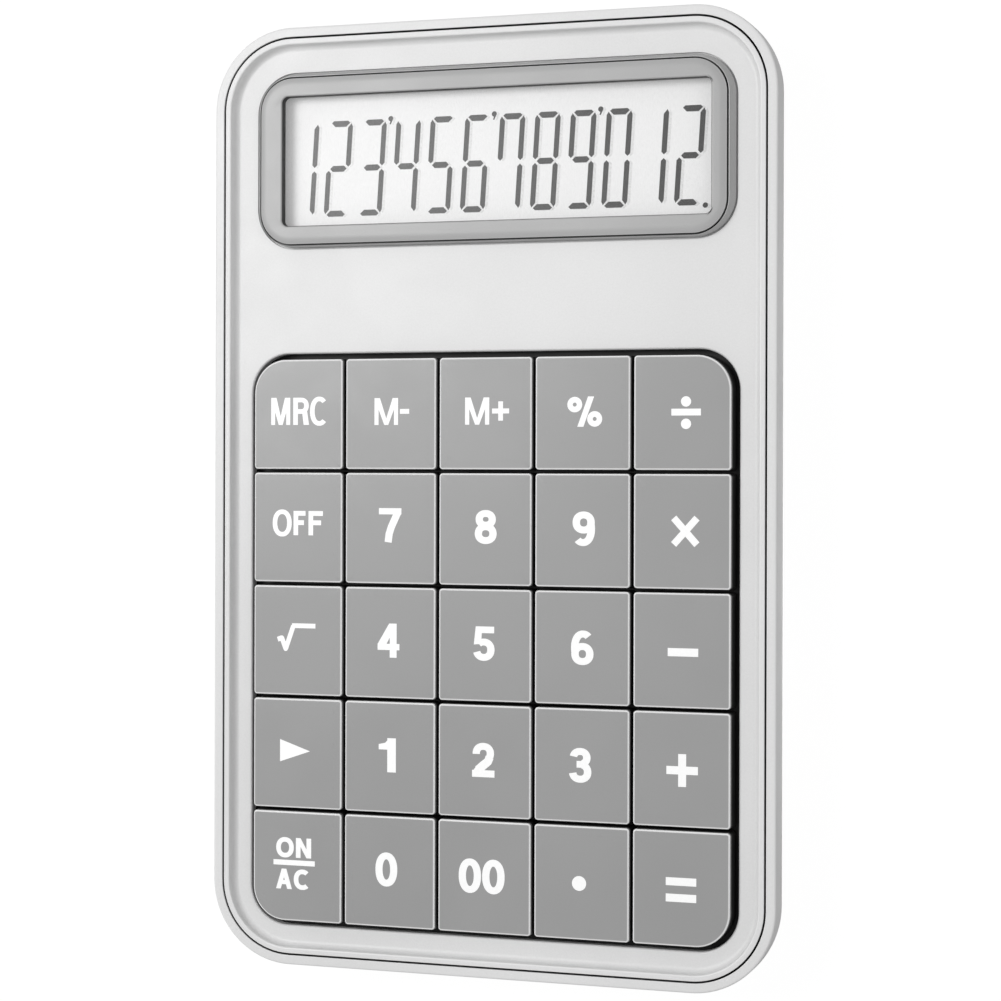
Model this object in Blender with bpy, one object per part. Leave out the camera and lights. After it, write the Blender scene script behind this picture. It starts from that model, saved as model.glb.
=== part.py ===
"""Pocket calculator, lying on its rubber feet with the keys and the display facing up.

X is across the calculator, +Y points to the display end and Z is up. The origin is the centre of the
calculator's outline, on the plane that the feet stand on. Every size below is in millimetres, and
new_object() turns it into metres.
"""

import math

import bmesh
import bpy
from mathutils import Vector

MM = 0.001

# Outline of the whole calculator
BODY_WIDTH = 89.2
BODY_LENGTH = 145.0
BODY_CORNER = 12.7
RIM_Z = 14.2  # rim of the rear case, land of the front cover and tops of the keys
BACK_Z = 0.6  # flat of the rear case
CLEARANCE = 0.3

# Rear case
RIM_WIDTH = 1.46
RIM_ROUNDING = 0.4
SIDE_HEIGHT = 3.2  # straight part of the side, below the rim
BACK_SWEEP = 9.0  # how far the curved back runs in under the body
LEDGE_Z = 7.1  # ledge under the front cover's skirt
LEDGE_INSET = 2.1
FLOOR_Z = 2.2
FLOOR_SWEEP = 7.8
CASE_BOSS_RADIUS = 3.3
TOP_BOSS_Z = 5.2
TOP_WELL_Z = 3.4  # seats of the case screws' heads
BOTTOM_WELL_Z = 2.6
WELL_RADIUS = 2.3
CASE_HOLE_TOP_Z = 6.0

# Front cover
COVER_WALL = 1.5
PANEL_Z = 12.65  # flat dished panel
PANEL_THICKNESS = 1.5
LAND_WIDTH = 0.85
LAND_CHAMFER = 0.12
DISH_DRAFT = 0.2
DISH_FILLET = 0.9
SKIRT_Z = 7.4
SKIRT_FILLET = (0.9, 0.5)
COVER_BOSS_RADIUS = 2.6
COVER_BOSS_Z = 5.5
COVER_PILOT_TOP_Z = 10.8
SMALL_PILOT_RADIUS = 0.95
SMALL_PILOT_TOP_Z = 11.6
PLATE_BOSS_RADIUS = 1.9
RETAINER_BOSS_RADIUS = 1.75
PLATE_REST_X = (14.0, 22.0)  # two blocks that the guide plate's end rests under
PLATE_REST_Y = (-69.6, -67.8)

# Keys
COLUMNS = 5
ROWS = 5
KEY_PITCH_X = 15.24
KEY_PITCH_Y = 17.47
KEY_GAP = 0.6
KEYS_Y = -22.3  # middle of the key field
KEY_EDGE = 0.3
KEY_DRAFT = 0.15
KEY_CORNER = 0.5
FIELD_CORNER = 5.2  # outer corner of the four corner keys
KEY_HEIGHT = 3.1
KEY_WALL = 1.1
KEY_TOP_THICKNESS = 1.2
KEY_WELL_GAP = 0.95
KEY_WELL_CORNER = 6.1

# Key stems, guide plate, rubber mat and circuit board, from the top down
STEM_HALF = 3.0
STEM_HOLE_HALF = 3.25
BARB = 0.75
BARB_Z = 8.4
STEM_END_Z = 7.8
PLATE_TOP_Z = 9.8
PLATE_Z = 8.6
DOME_TOP_Z = 7.5
MAT_TOP_Z = 6.1
MAT_Z = 5.6
BOARD_TOP_Z = 5.4
BOARD_Z = 4.2
DOME_BASE_RADIUS = 4.2
DOME_TOP_RADIUS = 2.6
DOME_WALL = 0.5
DOME_CROWN = 0.8
STACK_BOSS_RADIUS = 2.3  # bosses of the guide plate that the board is screwed to
STACK_BOSS_HOLE = 2.8
PLATE_HALF_X = 40.3
PLATE_Y = (-68.3, 26.8)
MAT_HALF_X = 37.0
MAT_Y = (-65.8, 18.2)
BOARD_HALF_X = 37.5
BOARD_Y = (-66.3, 22.2)

# Display
DISPLAY_Y = 52.0
BEZEL_HALF = (38.2, 13.6)
BEZEL_CORNER = 6.1
BEZEL_FACE_HALF = (37.15, 13.05)
BEZEL_FACE_CORNER = 5.05
BEZEL_TOP_Z = 14.4
BEZEL_SEAT = 0.45  # depth that the bezel is sunk into the panel
BEZEL_GAP = 0.25
COLLAR_HALF = (36.7, 11.9)
COLLAR_CORNER = 4.4
COLLAR_Z = 11.85
REBATE_HALF = (35.85, 11.25)
REBATE_Z = 13.0
WINDOW_HALF = (34.05, 10.05)
WINDOW_OFFSET = (0.75, -0.25)
WINDOW_CORNER = 1.0
LENS_Z = (11.95, 12.85)
LENS_GAP = 0.15
LENS_CORNER = 3.5
GLASS_HALF = (35.2, 10.7)
GLASS_TOP_Z = 11.7
GLASS_STEP_Z = 10.7
GLASS_Z = 9.9
GLASS_LEDGE = 3.2
REFLECTOR_HALF = (34.9, 10.4)
REFLECTOR_Z = (9.6, 9.83)
RETAINER_HALF = (40.4, 14.7)
RETAINER_CORNER = 8.6
RETAINER_HOLE_HALF = (30.0, 8.0)
RETAINER_Z = (8.2, 9.4)
RIBBON_HALF_WIDTH = 21.0
RIBBON_THICKNESS = 0.2

# Battery pocket, cell and door
POCKET_Y = 47.0
CELL_RADIUS = 10.0
CELL_Z = (2.15, 5.35)
POCKET_BLOCK_HALF = (14.5, 15.6)
POCKET_RADIUS = 10.35
POCKET_ROOF_Z = 6.4
POCKET_TOP_Z = 7.2
DOOR_HALF = (12.35, 12.75)
DOOR_GAP = 0.25
DOOR_TOP_Z = 1.75
DOOR_HINGE_Y = 59.9
DOOR_CORNER = 1.8
TONGUE_SLOT = ((3.7, 56.0, 1.55), (8.3, 62.1, 4.4))
LATCH_SLOT = ((-3.3, 33.1, 1.45), (3.3, 38.0, 2.8))
SPRING_SLOT = ((-2.8, 38.2, 4.0), (2.8, 39.0, 8.2))
CLIP_SLOT = ((9.5, 44.2, 2.4), (10.9, 49.8, 8.2))
TONGUE_X = (4.0, 8.0)
TONGUE_ROOT = ((57.6, 1.2), (59.7, 2.5))  # lowest and highest (y, z)
TONGUE_TIP = ((59.0, 1.75), (61.6, 2.5))
LATCH_ROOT = ((-3.0, 34.6, 1.2), (3.0, 36.2, 2.35))
LATCH_TIP = ((-3.0, 33.35, 1.65), (3.0, 35.0, 2.35))
GRIP_GROOVES = 4
GRIP_FIRST_Y = 38.2
GRIP_PITCH = 1.6
GRIP_HALF = (5.0, 0.35)
GRIP_DEPTH = 0.35
CONTACT_THICKNESS = 0.22
TAB_Z = 7.4
WIRE_RADIUS = 0.38

# Screws, bosses and feet
CASE_SCREWS_TOP = (33.0, 30.2)
CASE_SCREWS_BOTTOM = (1.5 * KEY_PITCH_X, KEYS_Y - 1.5 * KEY_PITCH_Y)
BOARD_SCREWS = (
    (1.5 * KEY_PITCH_X, KEYS_Y + 1.5 * KEY_PITCH_Y),
    (1.5 * KEY_PITCH_X, KEYS_Y - 0.5 * KEY_PITCH_Y),
)
PLATE_SCREWS = (30.0, 24.4)
RETAINER_SCREWS = (38.85, DISPLAY_Y)
PILOT_RADIUS = 1.15
FOOT_RADIUS = 4.0
FOOT_PLACE = (29.0, 57.0)
FOOT_TOP_Z = 1.1
FOOT_RECESS_Z = 1.3
CASE_SCREW_HEAD = (1.9, 1.3)  # radius and height
BOARD_SCREW_HEAD = (1.8, 1.1)
SMALL_SCREW_HEAD = (1.5, 1.0)
SCREW_RADIUS = 1.0
SMALL_SCREW_RADIUS = 0.8

KEY_NAMES = (
    ("key_mrc", "key_memory_minus", "key_memory_plus", "key_percent", "key_divide"),
    ("key_off", "key_7", "key_8", "key_9", "key_multiply"),
    ("key_square_root", "key_4", "key_5", "key_6", "key_minus"),
    ("key_backspace", "key_1", "key_2", "key_3", "key_plus"),
    ("key_on_clear", "key_0", "key_00", "key_decimal_point", "key_equals"),
)

# name: (colour, roughness, metallic)
FINISHES = {
    "case_plastic": ((0.78, 0.78, 0.78), 0.45, 0.0),
    "bezel_plastic": ((0.44, 0.44, 0.44), 0.40, 0.0),
    "key_plastic": ((0.38, 0.38, 0.38), 0.45, 0.0),
    "black_plastic": ((0.012, 0.012, 0.012), 0.60, 0.0),
    "clear_plastic": ((0.95, 0.95, 0.95), 0.05, 0.0),
    "lcd_glass": ((0.80, 0.81, 0.79), 0.15, 0.0),
    "reflector_foil": ((0.82, 0.82, 0.80), 0.35, 0.6),
    "silicone": ((0.55, 0.55, 0.55), 0.70, 0.0),
    "board_laminate": ((0.10, 0.30, 0.12), 0.50, 0.0),
    "ribbon_film": ((0.85, 0.45, 0.10), 0.35, 0.0),
    "epoxy": ((0.015, 0.015, 0.015), 0.25, 0.0),
    "ceramic": ((0.50, 0.36, 0.22), 0.45, 0.0),
    "steel": ((0.62, 0.62, 0.60), 0.30, 1.0),
    "nickel": ((0.72, 0.70, 0.66), 0.25, 1.0),
    "red_wire": ((0.60, 0.03, 0.02), 0.40, 0.0),
    "black_wire": ((0.02, 0.02, 0.02), 0.40, 0.0),
    "foot_rubber": ((0.045, 0.045, 0.045), 0.80, 0.0),
}


# ---------------------------------------------------------------- helpers


def clear_scene():
    for obj in list(bpy.data.objects):
        bpy.data.objects.remove(obj)


def finish(name):
    """The Principled material of this name, made on first use."""
    if name in bpy.data.materials:
        return bpy.data.materials[name]
    colour, roughness, metallic = FINISHES[name]
    material = bpy.data.materials.new(name)
    material.use_nodes = True
    shader = material.node_tree.nodes["Principled BSDF"]
    shader.inputs["Base Color"].default_value = (*colour, 1.0)
    shader.inputs["Roughness"].default_value = roughness
    shader.inputs["Metallic"].default_value = metallic
    if name == "clear_plastic":
        shader.inputs["Alpha"].default_value = 0.25
    return material


def new_object(name, bm, material, origin=(0, 0, 0), smooth=True):
    """An object from a bmesh in millimetres, placed at the origin given, under the empty."""
    bmesh.ops.recalc_face_normals(bm, faces=bm.faces)
    bmesh.ops.scale(bm, vec=(MM, MM, MM), verts=bm.verts)
    mesh = bpy.data.meshes.new(name)
    bm.to_mesh(mesh)
    bm.free()
    if smooth:
        mesh.shade_smooth()
        mesh.set_sharp_from_angle(angle=math.radians(35))
    mesh.materials.append(finish(material))
    obj = bpy.data.objects.new(name, mesh)
    bpy.context.scene.collection.objects.link(obj)
    obj.location = Vector(origin) * MM
    obj.parent = bpy.data.objects.get("calculator")
    return obj


def outline(half, corners, z, centre=(0, 0)):
    """Rounded rectangle at height z. corners is one (radius, steps), or four from +X+Y on."""
    if len(corners) == 2:
        corners = (corners,) * 4
    points = []
    for quarter, (radius, steps) in enumerate(corners):
        side_x = 1 if quarter in (0, 3) else -1
        side_y = 1 if quarter in (0, 1) else -1
        corner_x = centre[0] + side_x * (half[0] - radius)
        corner_y = centre[1] + side_y * (half[1] - radius)
        for step in range(steps + 1):
            angle = math.radians(90 * (quarter + step / steps))
            points.append(
                (corner_x + radius * math.cos(angle), corner_y + radius * math.sin(angle), z)
            )
    return points


def loft(rings, closed=False):
    """A bmesh skinned through rings of equally many points: capped at both ends, or joined into a frame."""
    bm = bmesh.new()
    loops = [[bm.verts.new(point) for point in ring] for ring in rings]
    pairs = list(zip(loops, loops[1:]))
    if closed:
        pairs.append((loops[-1], loops[0]))
    else:
        bm.faces.new(loops[0])
        bm.faces.new(loops[-1])
    for low, high in pairs:
        for i in range(len(low)):
            j = (i + 1) % len(low)
            bm.faces.new((low[i], low[j], high[j], high[i]))
    return bm


def lathe(profile, segments):
    """A bmesh turned about Z from (radius, z) points. Its first and last points lie on the axis."""
    bm = bmesh.new()
    rings = []
    for radius, z in profile[1:-1]:
        angles = [2 * math.pi * i / segments for i in range(segments)]
        rings.append([bm.verts.new((radius * math.cos(a), radius * math.sin(a), z)) for a in angles])
    for pole, ring in ((profile[0], rings[0]), (profile[-1], rings[-1])):
        tip = bm.verts.new((0, 0, pole[1]))
        for i in range(segments):
            bm.faces.new((tip, ring[i], ring[(i + 1) % segments]))
    for low, high in zip(rings, rings[1:]):
        for i in range(segments):
            j = (i + 1) % segments
            bm.faces.new((low[i], low[j], high[j], high[i]))
    return bm


def add_box(bm, low, high):
    """Adds a box between two corners to a bmesh."""
    corners = bmesh.ops.create_cube(bm, size=1.0)["verts"]
    size = [b - a for a, b in zip(low, high)]
    middle = [(a + b) / 2 for a, b in zip(low, high)]
    bmesh.ops.scale(bm, vec=size, verts=corners)
    bmesh.ops.translate(bm, vec=middle, verts=corners)


def add_cylinder(bm, place, radius, low, high, segments=20, top_radius=None):
    """Adds an upright cylinder or cone frustum between two heights to a bmesh."""
    made = bmesh.ops.create_cone(
        bm,
        cap_ends=True,
        segments=segments,
        radius1=radius,
        radius2=radius if top_radius is None else top_radius,
        depth=high - low,
    )
    bmesh.ops.translate(bm, vec=(place[0], place[1], (low + high) / 2), verts=made["verts"])


def strip(path, thickness):
    """Outline of a strip of this thickness that follows a path of (u, v) points, centred on it."""
    normals = []
    for i in range(len(path)):
        before = Vector(path[max(i - 1, 0)])
        after = Vector(path[min(i + 1, len(path) - 1)])
        along = (after - before).normalized()
        normals.append(Vector((-along.y, along.x)))
    one_side = [Vector(p) + n * thickness / 2 for p, n in zip(path, normals)]
    other_side = [Vector(p) - n * thickness / 2 for p, n in zip(path, normals)]
    return one_side + other_side[::-1]


def strip_across_x(path, thickness, low_x, high_x):
    """A bmesh of a bent strip whose path of (y, z) points is extruded along X."""
    sides = strip(path, thickness)
    return loft([[(x, p.x, p.y) for p in sides] for x in (low_x, high_x)])


def strip_across_y(path, thickness, low_y, high_y):
    """A bmesh of a bent strip whose path of (x, z) points is extruded along Y."""
    sides = strip(path, thickness)
    return loft([[(p.x, y, p.y) for p in sides] for y in (low_y, high_y)])


def helper(name, bm):
    """A cutter or a boss that only a Boolean uses."""
    obj = new_object(name, bm, "case_plastic", smooth=False)
    obj.hide_render = True
    obj.display_type = "WIRE"
    return obj


def boolean(obj, other, operation):
    modifier = obj.modifiers.new(other.name, "BOOLEAN")
    modifier.operation = operation
    modifier.solver = "EXACT"
    modifier.use_self = True
    modifier.object = other


def both_sides(place):
    return [(-place[0], place[1]), (place[0], place[1])]


# ---------------------------------------------------------------- shells


def body_outline(inset, z):
    """The calculator's outline moved inwards by inset."""
    half = (BODY_WIDTH / 2 - inset, BODY_LENGTH / 2 - inset)
    return outline(half, (BODY_CORNER - inset, 8), z)


def quarter_curve(steps, inset, sweep, high_z, low_z):
    """Rings down a quarter ellipse that starts upright at high_z and ends level at low_z."""
    rings = []
    for step in range(1, steps + 1):
        angle = math.pi / 2 * step / steps
        drop = (high_z - low_z) * math.sin(angle)
        rings.append(body_outline(inset + sweep * (1 - math.cos(angle)), high_z - drop))
    return rings


def rear_case():
    inside = [body_outline(LEDGE_INSET, LEDGE_Z)]
    inside += quarter_curve(5, LEDGE_INSET, FLOOR_SWEEP, LEDGE_Z, FLOOR_Z)
    rim = [body_outline(RIM_WIDTH, LEDGE_Z), body_outline(RIM_WIDTH, RIM_Z)]
    for step in range(4):
        angle = math.pi / 2 * step / 3
        inset = RIM_ROUNDING * (1 - math.sin(angle))
        rim.append(body_outline(inset, RIM_Z - RIM_ROUNDING * (1 - math.cos(angle))))
    side = [body_outline(0, RIM_Z - SIDE_HEIGHT)]
    back = quarter_curve(8, 0, BACK_SWEEP, RIM_Z - SIDE_HEIGHT, BACK_Z)
    obj = new_object("rear_case", loft(inside[::-1] + rim + side + back), "case_plastic")
    boolean(obj, helper("rear_case_bosses", rear_bosses()), "UNION")
    boolean(obj, helper("battery_pocket_block", pocket_block()), "UNION")
    boolean(obj, helper("rear_case_openings", rear_openings()), "DIFFERENCE")
    boolean(obj, helper("battery_pocket_recess", pocket_recess()), "DIFFERENCE")
    boolean(obj, helper("battery_pocket_slots", pocket_slots()), "DIFFERENCE")


def rear_bosses():
    bm = bmesh.new()
    for place in both_sides(CASE_SCREWS_TOP):
        add_cylinder(bm, place, CASE_BOSS_RADIUS, FLOOR_Z - 1, TOP_BOSS_Z)
    for place in both_sides(CASE_SCREWS_BOTTOM):
        add_cylinder(bm, place, CASE_BOSS_RADIUS, FLOOR_Z - 1, BOARD_Z - CLEARANCE)
    return bm


def pocket_block():
    """Block that holds the coin cell's round pocket."""
    centre = (0, POCKET_Y + 0.2)
    heights = (FLOOR_Z - 1, POCKET_TOP_Z)
    return loft([outline(POCKET_BLOCK_HALF, (3.0, 3), z, centre) for z in heights])


def rear_openings():
    """Wells of the case screws, their holes, and the recesses of the feet."""
    bm = bmesh.new()
    for place in both_sides(CASE_SCREWS_TOP):
        add_cylinder(bm, place, WELL_RADIUS, BACK_Z - 1, TOP_WELL_Z)
        add_cylinder(bm, place, PILOT_RADIUS, TOP_WELL_Z - 0.1, CASE_HOLE_TOP_Z, 12)
    for place in both_sides(CASE_SCREWS_BOTTOM):
        add_cylinder(bm, place, WELL_RADIUS, BACK_Z - 1, BOTTOM_WELL_Z)
        add_cylinder(bm, place, PILOT_RADIUS, BOTTOM_WELL_Z - 0.1, CASE_HOLE_TOP_Z, 12)
    for side_y in (-1, 1):
        for place in both_sides((FOOT_PLACE[0], side_y * FOOT_PLACE[1])):
            add_cylinder(bm, place, FOOT_RADIUS + CLEARANCE, BACK_Z - 1, FOOT_RECESS_Z, 24)
    return bm


def pocket_recess():
    """The door's rectangular recess."""
    half = (DOOR_HALF[0] + DOOR_GAP, DOOR_HALF[1] + DOOR_GAP)
    rings = [outline(half, (2.0, 3), z, (0, POCKET_Y)) for z in (BACK_Z - 1, DOOR_TOP_Z + 0.2)]
    return loft(rings)


def pocket_slots():
    """The cell's round hole, the slots of the door's tongues and latch, and those of the contacts."""
    bm = bmesh.new()
    add_cylinder(bm, (0, POCKET_Y), POCKET_RADIUS, 1.0, POCKET_ROOF_Z, 40)
    (near_x, low_y, low_z), (far_x, high_y, high_z) = TONGUE_SLOT
    for side in (-1, 1):
        low_x, high_x = sorted((side * near_x, side * far_x))
        add_box(bm, (low_x, low_y, low_z), (high_x, high_y, high_z))
    for low, high in (LATCH_SLOT, SPRING_SLOT, CLIP_SLOT):
        add_box(bm, low, high)
    return bm


def dish_rings(edge):
    """Rings from the dished panel up its fillet and its wall to the land. edge is the cover's own inset."""
    wall = edge + LAND_WIDTH + DISH_DRAFT
    rings = []
    for step in range(5):
        angle = math.pi / 2 * step / 4
        inset = wall + DISH_FILLET * (1 - math.sin(angle))
        rings.append(body_outline(inset, PANEL_Z + DISH_FILLET * (1 - math.cos(angle))))
    rings.append(body_outline(edge + LAND_WIDTH + LAND_CHAMFER, RIM_Z - LAND_CHAMFER))
    rings.append(body_outline(edge + LAND_WIDTH, RIM_Z))
    return rings


def front_cover():
    edge = RIM_WIDTH + CLEARANCE
    underside = PANEL_Z - PANEL_THICKNESS
    rings = dish_rings(edge)
    rings += [
        body_outline(edge + LAND_CHAMFER, RIM_Z),
        body_outline(edge, RIM_Z - LAND_CHAMFER),
        body_outline(edge, SKIRT_Z),
        body_outline(edge + COVER_WALL, SKIRT_Z),
        body_outline(edge + COVER_WALL, underside - SKIRT_FILLET[1]),
        body_outline(edge + COVER_WALL + SKIRT_FILLET[0], underside),
    ]
    obj = new_object("front_cover", loft(rings), "case_plastic")
    boolean(obj, helper("cover_bosses", cover_bosses()), "UNION")
    boolean(obj, helper("key_well", key_well()), "DIFFERENCE")
    boolean(obj, helper("display_opening", display_opening()), "DIFFERENCE")
    boolean(obj, helper("bezel_recess", bezel_recess()), "DIFFERENCE")
    boolean(obj, helper("cover_pilot_holes", cover_pilot_holes()), "DIFFERENCE")


def cover_bosses():
    underside = PANEL_Z - PANEL_THICKNESS
    bm = bmesh.new()
    for place in both_sides(CASE_SCREWS_TOP):
        add_cylinder(bm, place, COVER_BOSS_RADIUS, COVER_BOSS_Z, underside + 0.3)
    for place in both_sides(PLATE_SCREWS):
        add_cylinder(bm, place, PLATE_BOSS_RADIUS, PLATE_TOP_Z + 0.15, underside + 0.3, 16)
    for place in both_sides(RETAINER_SCREWS):
        add_cylinder(bm, place, RETAINER_BOSS_RADIUS, RETAINER_Z[1] + 0.3, underside + 0.3, 16)
    for side in (-1, 1):
        low_x, high_x = sorted(side * x for x in PLATE_REST_X)
        low = (low_x, PLATE_REST_Y[0], SKIRT_Z)
        add_box(bm, low, (high_x, PLATE_REST_Y[1], PLATE_Z - CLEARANCE))
    return bm


def cover_pilot_holes():
    bm = bmesh.new()
    for place in both_sides(CASE_SCREWS_TOP):
        add_cylinder(bm, place, PILOT_RADIUS, COVER_BOSS_Z - 1, COVER_PILOT_TOP_Z, 12)
    for place in both_sides(PLATE_SCREWS) + both_sides(RETAINER_SCREWS):
        add_cylinder(bm, place, SMALL_PILOT_RADIUS, PLATE_Z - 1, SMALL_PILOT_TOP_Z, 12)
    return bm


def key_field_half():
    """Half size of the block of 25 key tops."""
    return (
        (COLUMNS * KEY_PITCH_X - KEY_GAP) / 2,
        (ROWS * KEY_PITCH_Y - KEY_GAP) / 2,
    )


def key_well():
    field = key_field_half()
    half = (field[0] + KEY_WELL_GAP, field[1] + KEY_WELL_GAP)
    rings = [outline(half, (KEY_WELL_CORNER, 6), z, (0, KEYS_Y)) for z in (PANEL_Z - 3.0, RIM_Z)]
    return loft(rings)


def display_opening():
    half = (COLLAR_HALF[0] + 0.25, COLLAR_HALF[1] + 0.25)
    corner = (COLLAR_CORNER + 0.25, 5)
    rings = [outline(half, corner, z, (0, DISPLAY_Y)) for z in (PANEL_Z - 3.0, RIM_Z)]
    return loft(rings)


def bezel_recess():
    """Shallow recess in the panel that the bezel sits in."""
    half = (BEZEL_HALF[0] + BEZEL_GAP, BEZEL_HALF[1] + BEZEL_GAP)
    corner = (BEZEL_CORNER + BEZEL_GAP, 6)
    floor = PANEL_Z - BEZEL_SEAT - 0.1
    return loft([outline(half, corner, z, (0, DISPLAY_Y)) for z in (floor, RIM_Z)])


# ---------------------------------------------------------------- display


def display_outline(half, corner, z, offset=(0, 0), steps=6):
    return outline(half, (corner, steps), z, (offset[0], DISPLAY_Y + offset[1]))


def display_bezel():
    """Frame with sloping sides, whose collar passes through the panel and holds the lens."""
    seat = PANEL_Z - BEZEL_SEAT
    rings = [
        display_outline(WINDOW_HALF, WINDOW_CORNER, BEZEL_TOP_Z, WINDOW_OFFSET),
        display_outline(BEZEL_FACE_HALF, BEZEL_FACE_CORNER, BEZEL_TOP_Z),
        display_outline(BEZEL_HALF, BEZEL_CORNER, PANEL_Z + 0.15),
        display_outline(BEZEL_HALF, BEZEL_CORNER, seat),
        display_outline(COLLAR_HALF, COLLAR_CORNER, seat),
        display_outline(COLLAR_HALF, COLLAR_CORNER, COLLAR_Z),
        display_outline(REBATE_HALF, COLLAR_CORNER - 0.7, COLLAR_Z),
        display_outline(REBATE_HALF, COLLAR_CORNER - 0.7, REBATE_Z),
        display_outline(WINDOW_HALF, WINDOW_CORNER, REBATE_Z, WINDOW_OFFSET),
    ]
    new_object("display_bezel", loft(rings, closed=True), "bezel_plastic")


def display_lens():
    half = (REBATE_HALF[0] - LENS_GAP, REBATE_HALF[1] - LENS_GAP)
    rings = [display_outline(half, LENS_CORNER, z) for z in LENS_Z]
    new_object("display_lens", loft(rings), "clear_plastic")


def lcd_glass():
    """Two bonded sheets: the rear one runs on past the front one, where the ribbon joins it."""
    rear = (GLASS_HALF[0], GLASS_HALF[1] + GLASS_LEDGE / 2)
    shift = (0, -GLASS_LEDGE / 2)
    rings = [
        display_outline(rear, 0.3, GLASS_Z, shift, 1),
        display_outline(rear, 0.3, GLASS_STEP_Z, shift, 1),
        display_outline(GLASS_HALF, 0.3, GLASS_STEP_Z, (0, 0), 1),
        display_outline(GLASS_HALF, 0.3, GLASS_TOP_Z, (0, 0), 1),
    ]
    new_object("lcd_glass", loft(rings), "lcd_glass")


def lcd_reflector():
    rings = [display_outline(REFLECTOR_HALF, 0.3, z, (0, 0), 1) for z in REFLECTOR_Z]
    new_object("lcd_reflector", loft(rings), "reflector_foil")


def lcd_retainer():
    """Frame that clamps the LCD from behind, screwed to the front cover."""
    rings = [display_outline(RETAINER_HALF, RETAINER_CORNER, z) for z in RETAINER_Z]
    rings += [display_outline(RETAINER_HOLE_HALF, 2.0, z) for z in RETAINER_Z[::-1]]
    obj = new_object("lcd_retainer", loft(rings, closed=True), "black_plastic")
    bm = bmesh.new()
    for place in both_sides(RETAINER_SCREWS):
        add_cylinder(bm, place, SMALL_PILOT_RADIUS, RETAINER_Z[0] - 1, RETAINER_Z[1] + 1, 12)
    boolean(obj, helper("retainer_holes", bm), "DIFFERENCE")


def lcd_ribbon_cable():
    """Heat-sealed ribbon from the LCD's ledge down to the circuit board."""
    start_y = DISPLAY_Y - GLASS_HALF[1] - 1.4
    high_z = GLASS_STEP_Z + 0.15
    low_z = BOARD_TOP_Z + 0.25
    path = [
        (start_y, high_z),
        (37.4, high_z),
        (36.4, high_z - 0.3),
        (23.6, low_z + 0.3),
        (22.6, low_z),
        (19.0, low_z),
    ]
    bm = strip_across_x(path, RIBBON_THICKNESS, -RIBBON_HALF_WIDTH, RIBBON_HALF_WIDTH)
    new_object("lcd_ribbon_cable", bm, "ribbon_film")


# ---------------------------------------------------------------- keys


def key_centre(row, column):
    x = (column - (COLUMNS - 1) / 2) * KEY_PITCH_X
    y = KEYS_Y + ((ROWS - 1) / 2 - row) * KEY_PITCH_Y
    return x, y


def key_corners(row, column):
    """(radius, steps) of a key's four corners. A corner key has the field's rounding on its outer one."""
    outer = {(0, COLUMNS - 1): 0, (0, 0): 1, (ROWS - 1, 0): 2, (ROWS - 1, COLUMNS - 1): 3}
    corners = [(KEY_CORNER, 2)] * 4
    if (row, column) in outer:
        corners[outer[row, column]] = (FIELD_CORNER, 6)
    return corners


def key_ring(half, corners, inset, z):
    """Ring of a key cap, in the cap's own frame with its top face at z = 0."""
    inner = [(max(radius - inset, 0.15), steps) for radius, steps in corners]
    return outline((half[0] - inset, half[1] - inset), inner, z - RIM_Z)


def stem_ring(corners, extra_y, z):
    """Ring of a key's square stem, widened along Y by a barb."""
    rounding = [(0.4, steps) for _, steps in corners]
    return outline((STEM_HALF, STEM_HALF + extra_y), rounding, z - RIM_Z)


def key_cap(name, row, column):
    """Hollow cap with a stem that runs in the guide plate and two barbs that hold it there."""
    half = ((KEY_PITCH_X - KEY_GAP) / 2, (KEY_PITCH_Y - KEY_GAP) / 2)
    corners = key_corners(row, column)
    skirt_z = RIM_Z - KEY_HEIGHT
    ceiling_z = RIM_Z - KEY_TOP_THICKNESS
    rings = [
        key_ring(half, corners, KEY_EDGE, RIM_Z),
        key_ring(half, corners, 0.0, RIM_Z - KEY_EDGE),
        key_ring(half, corners, -KEY_DRAFT, skirt_z),
        key_ring(half, corners, KEY_WALL - KEY_DRAFT, skirt_z),
        key_ring(half, corners, KEY_WALL, ceiling_z),
        stem_ring(corners, 0.0, ceiling_z),
        stem_ring(corners, 0.0, BARB_Z),
        stem_ring(corners, BARB, BARB_Z),
        stem_ring(corners, 0.0, STEM_END_Z),
    ]
    new_object(name, loft(rings), "key_plastic", (*key_centre(row, column), RIM_Z))


def all_keys():
    for row, names in enumerate(KEY_NAMES):
        for column, name in enumerate(names):
            key_cap(name, row, column)


def boss_places():
    """Bosses of the guide plate, where four keys meet: the first four take the board's screws."""
    places = []
    for place in (*BOARD_SCREWS, CASE_SCREWS_BOTTOM):
        places += both_sides(place)
    return places


def sheet(half_x, ends_y, corners, heights):
    """A bmesh of a flat rounded sheet, given by its half width, its two ends and its two heights."""
    half = (half_x, (ends_y[1] - ends_y[0]) / 2)
    centre = (0, (ends_y[1] + ends_y[0]) / 2)
    return loft([outline(half, corners, z, centre) for z in heights])


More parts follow.
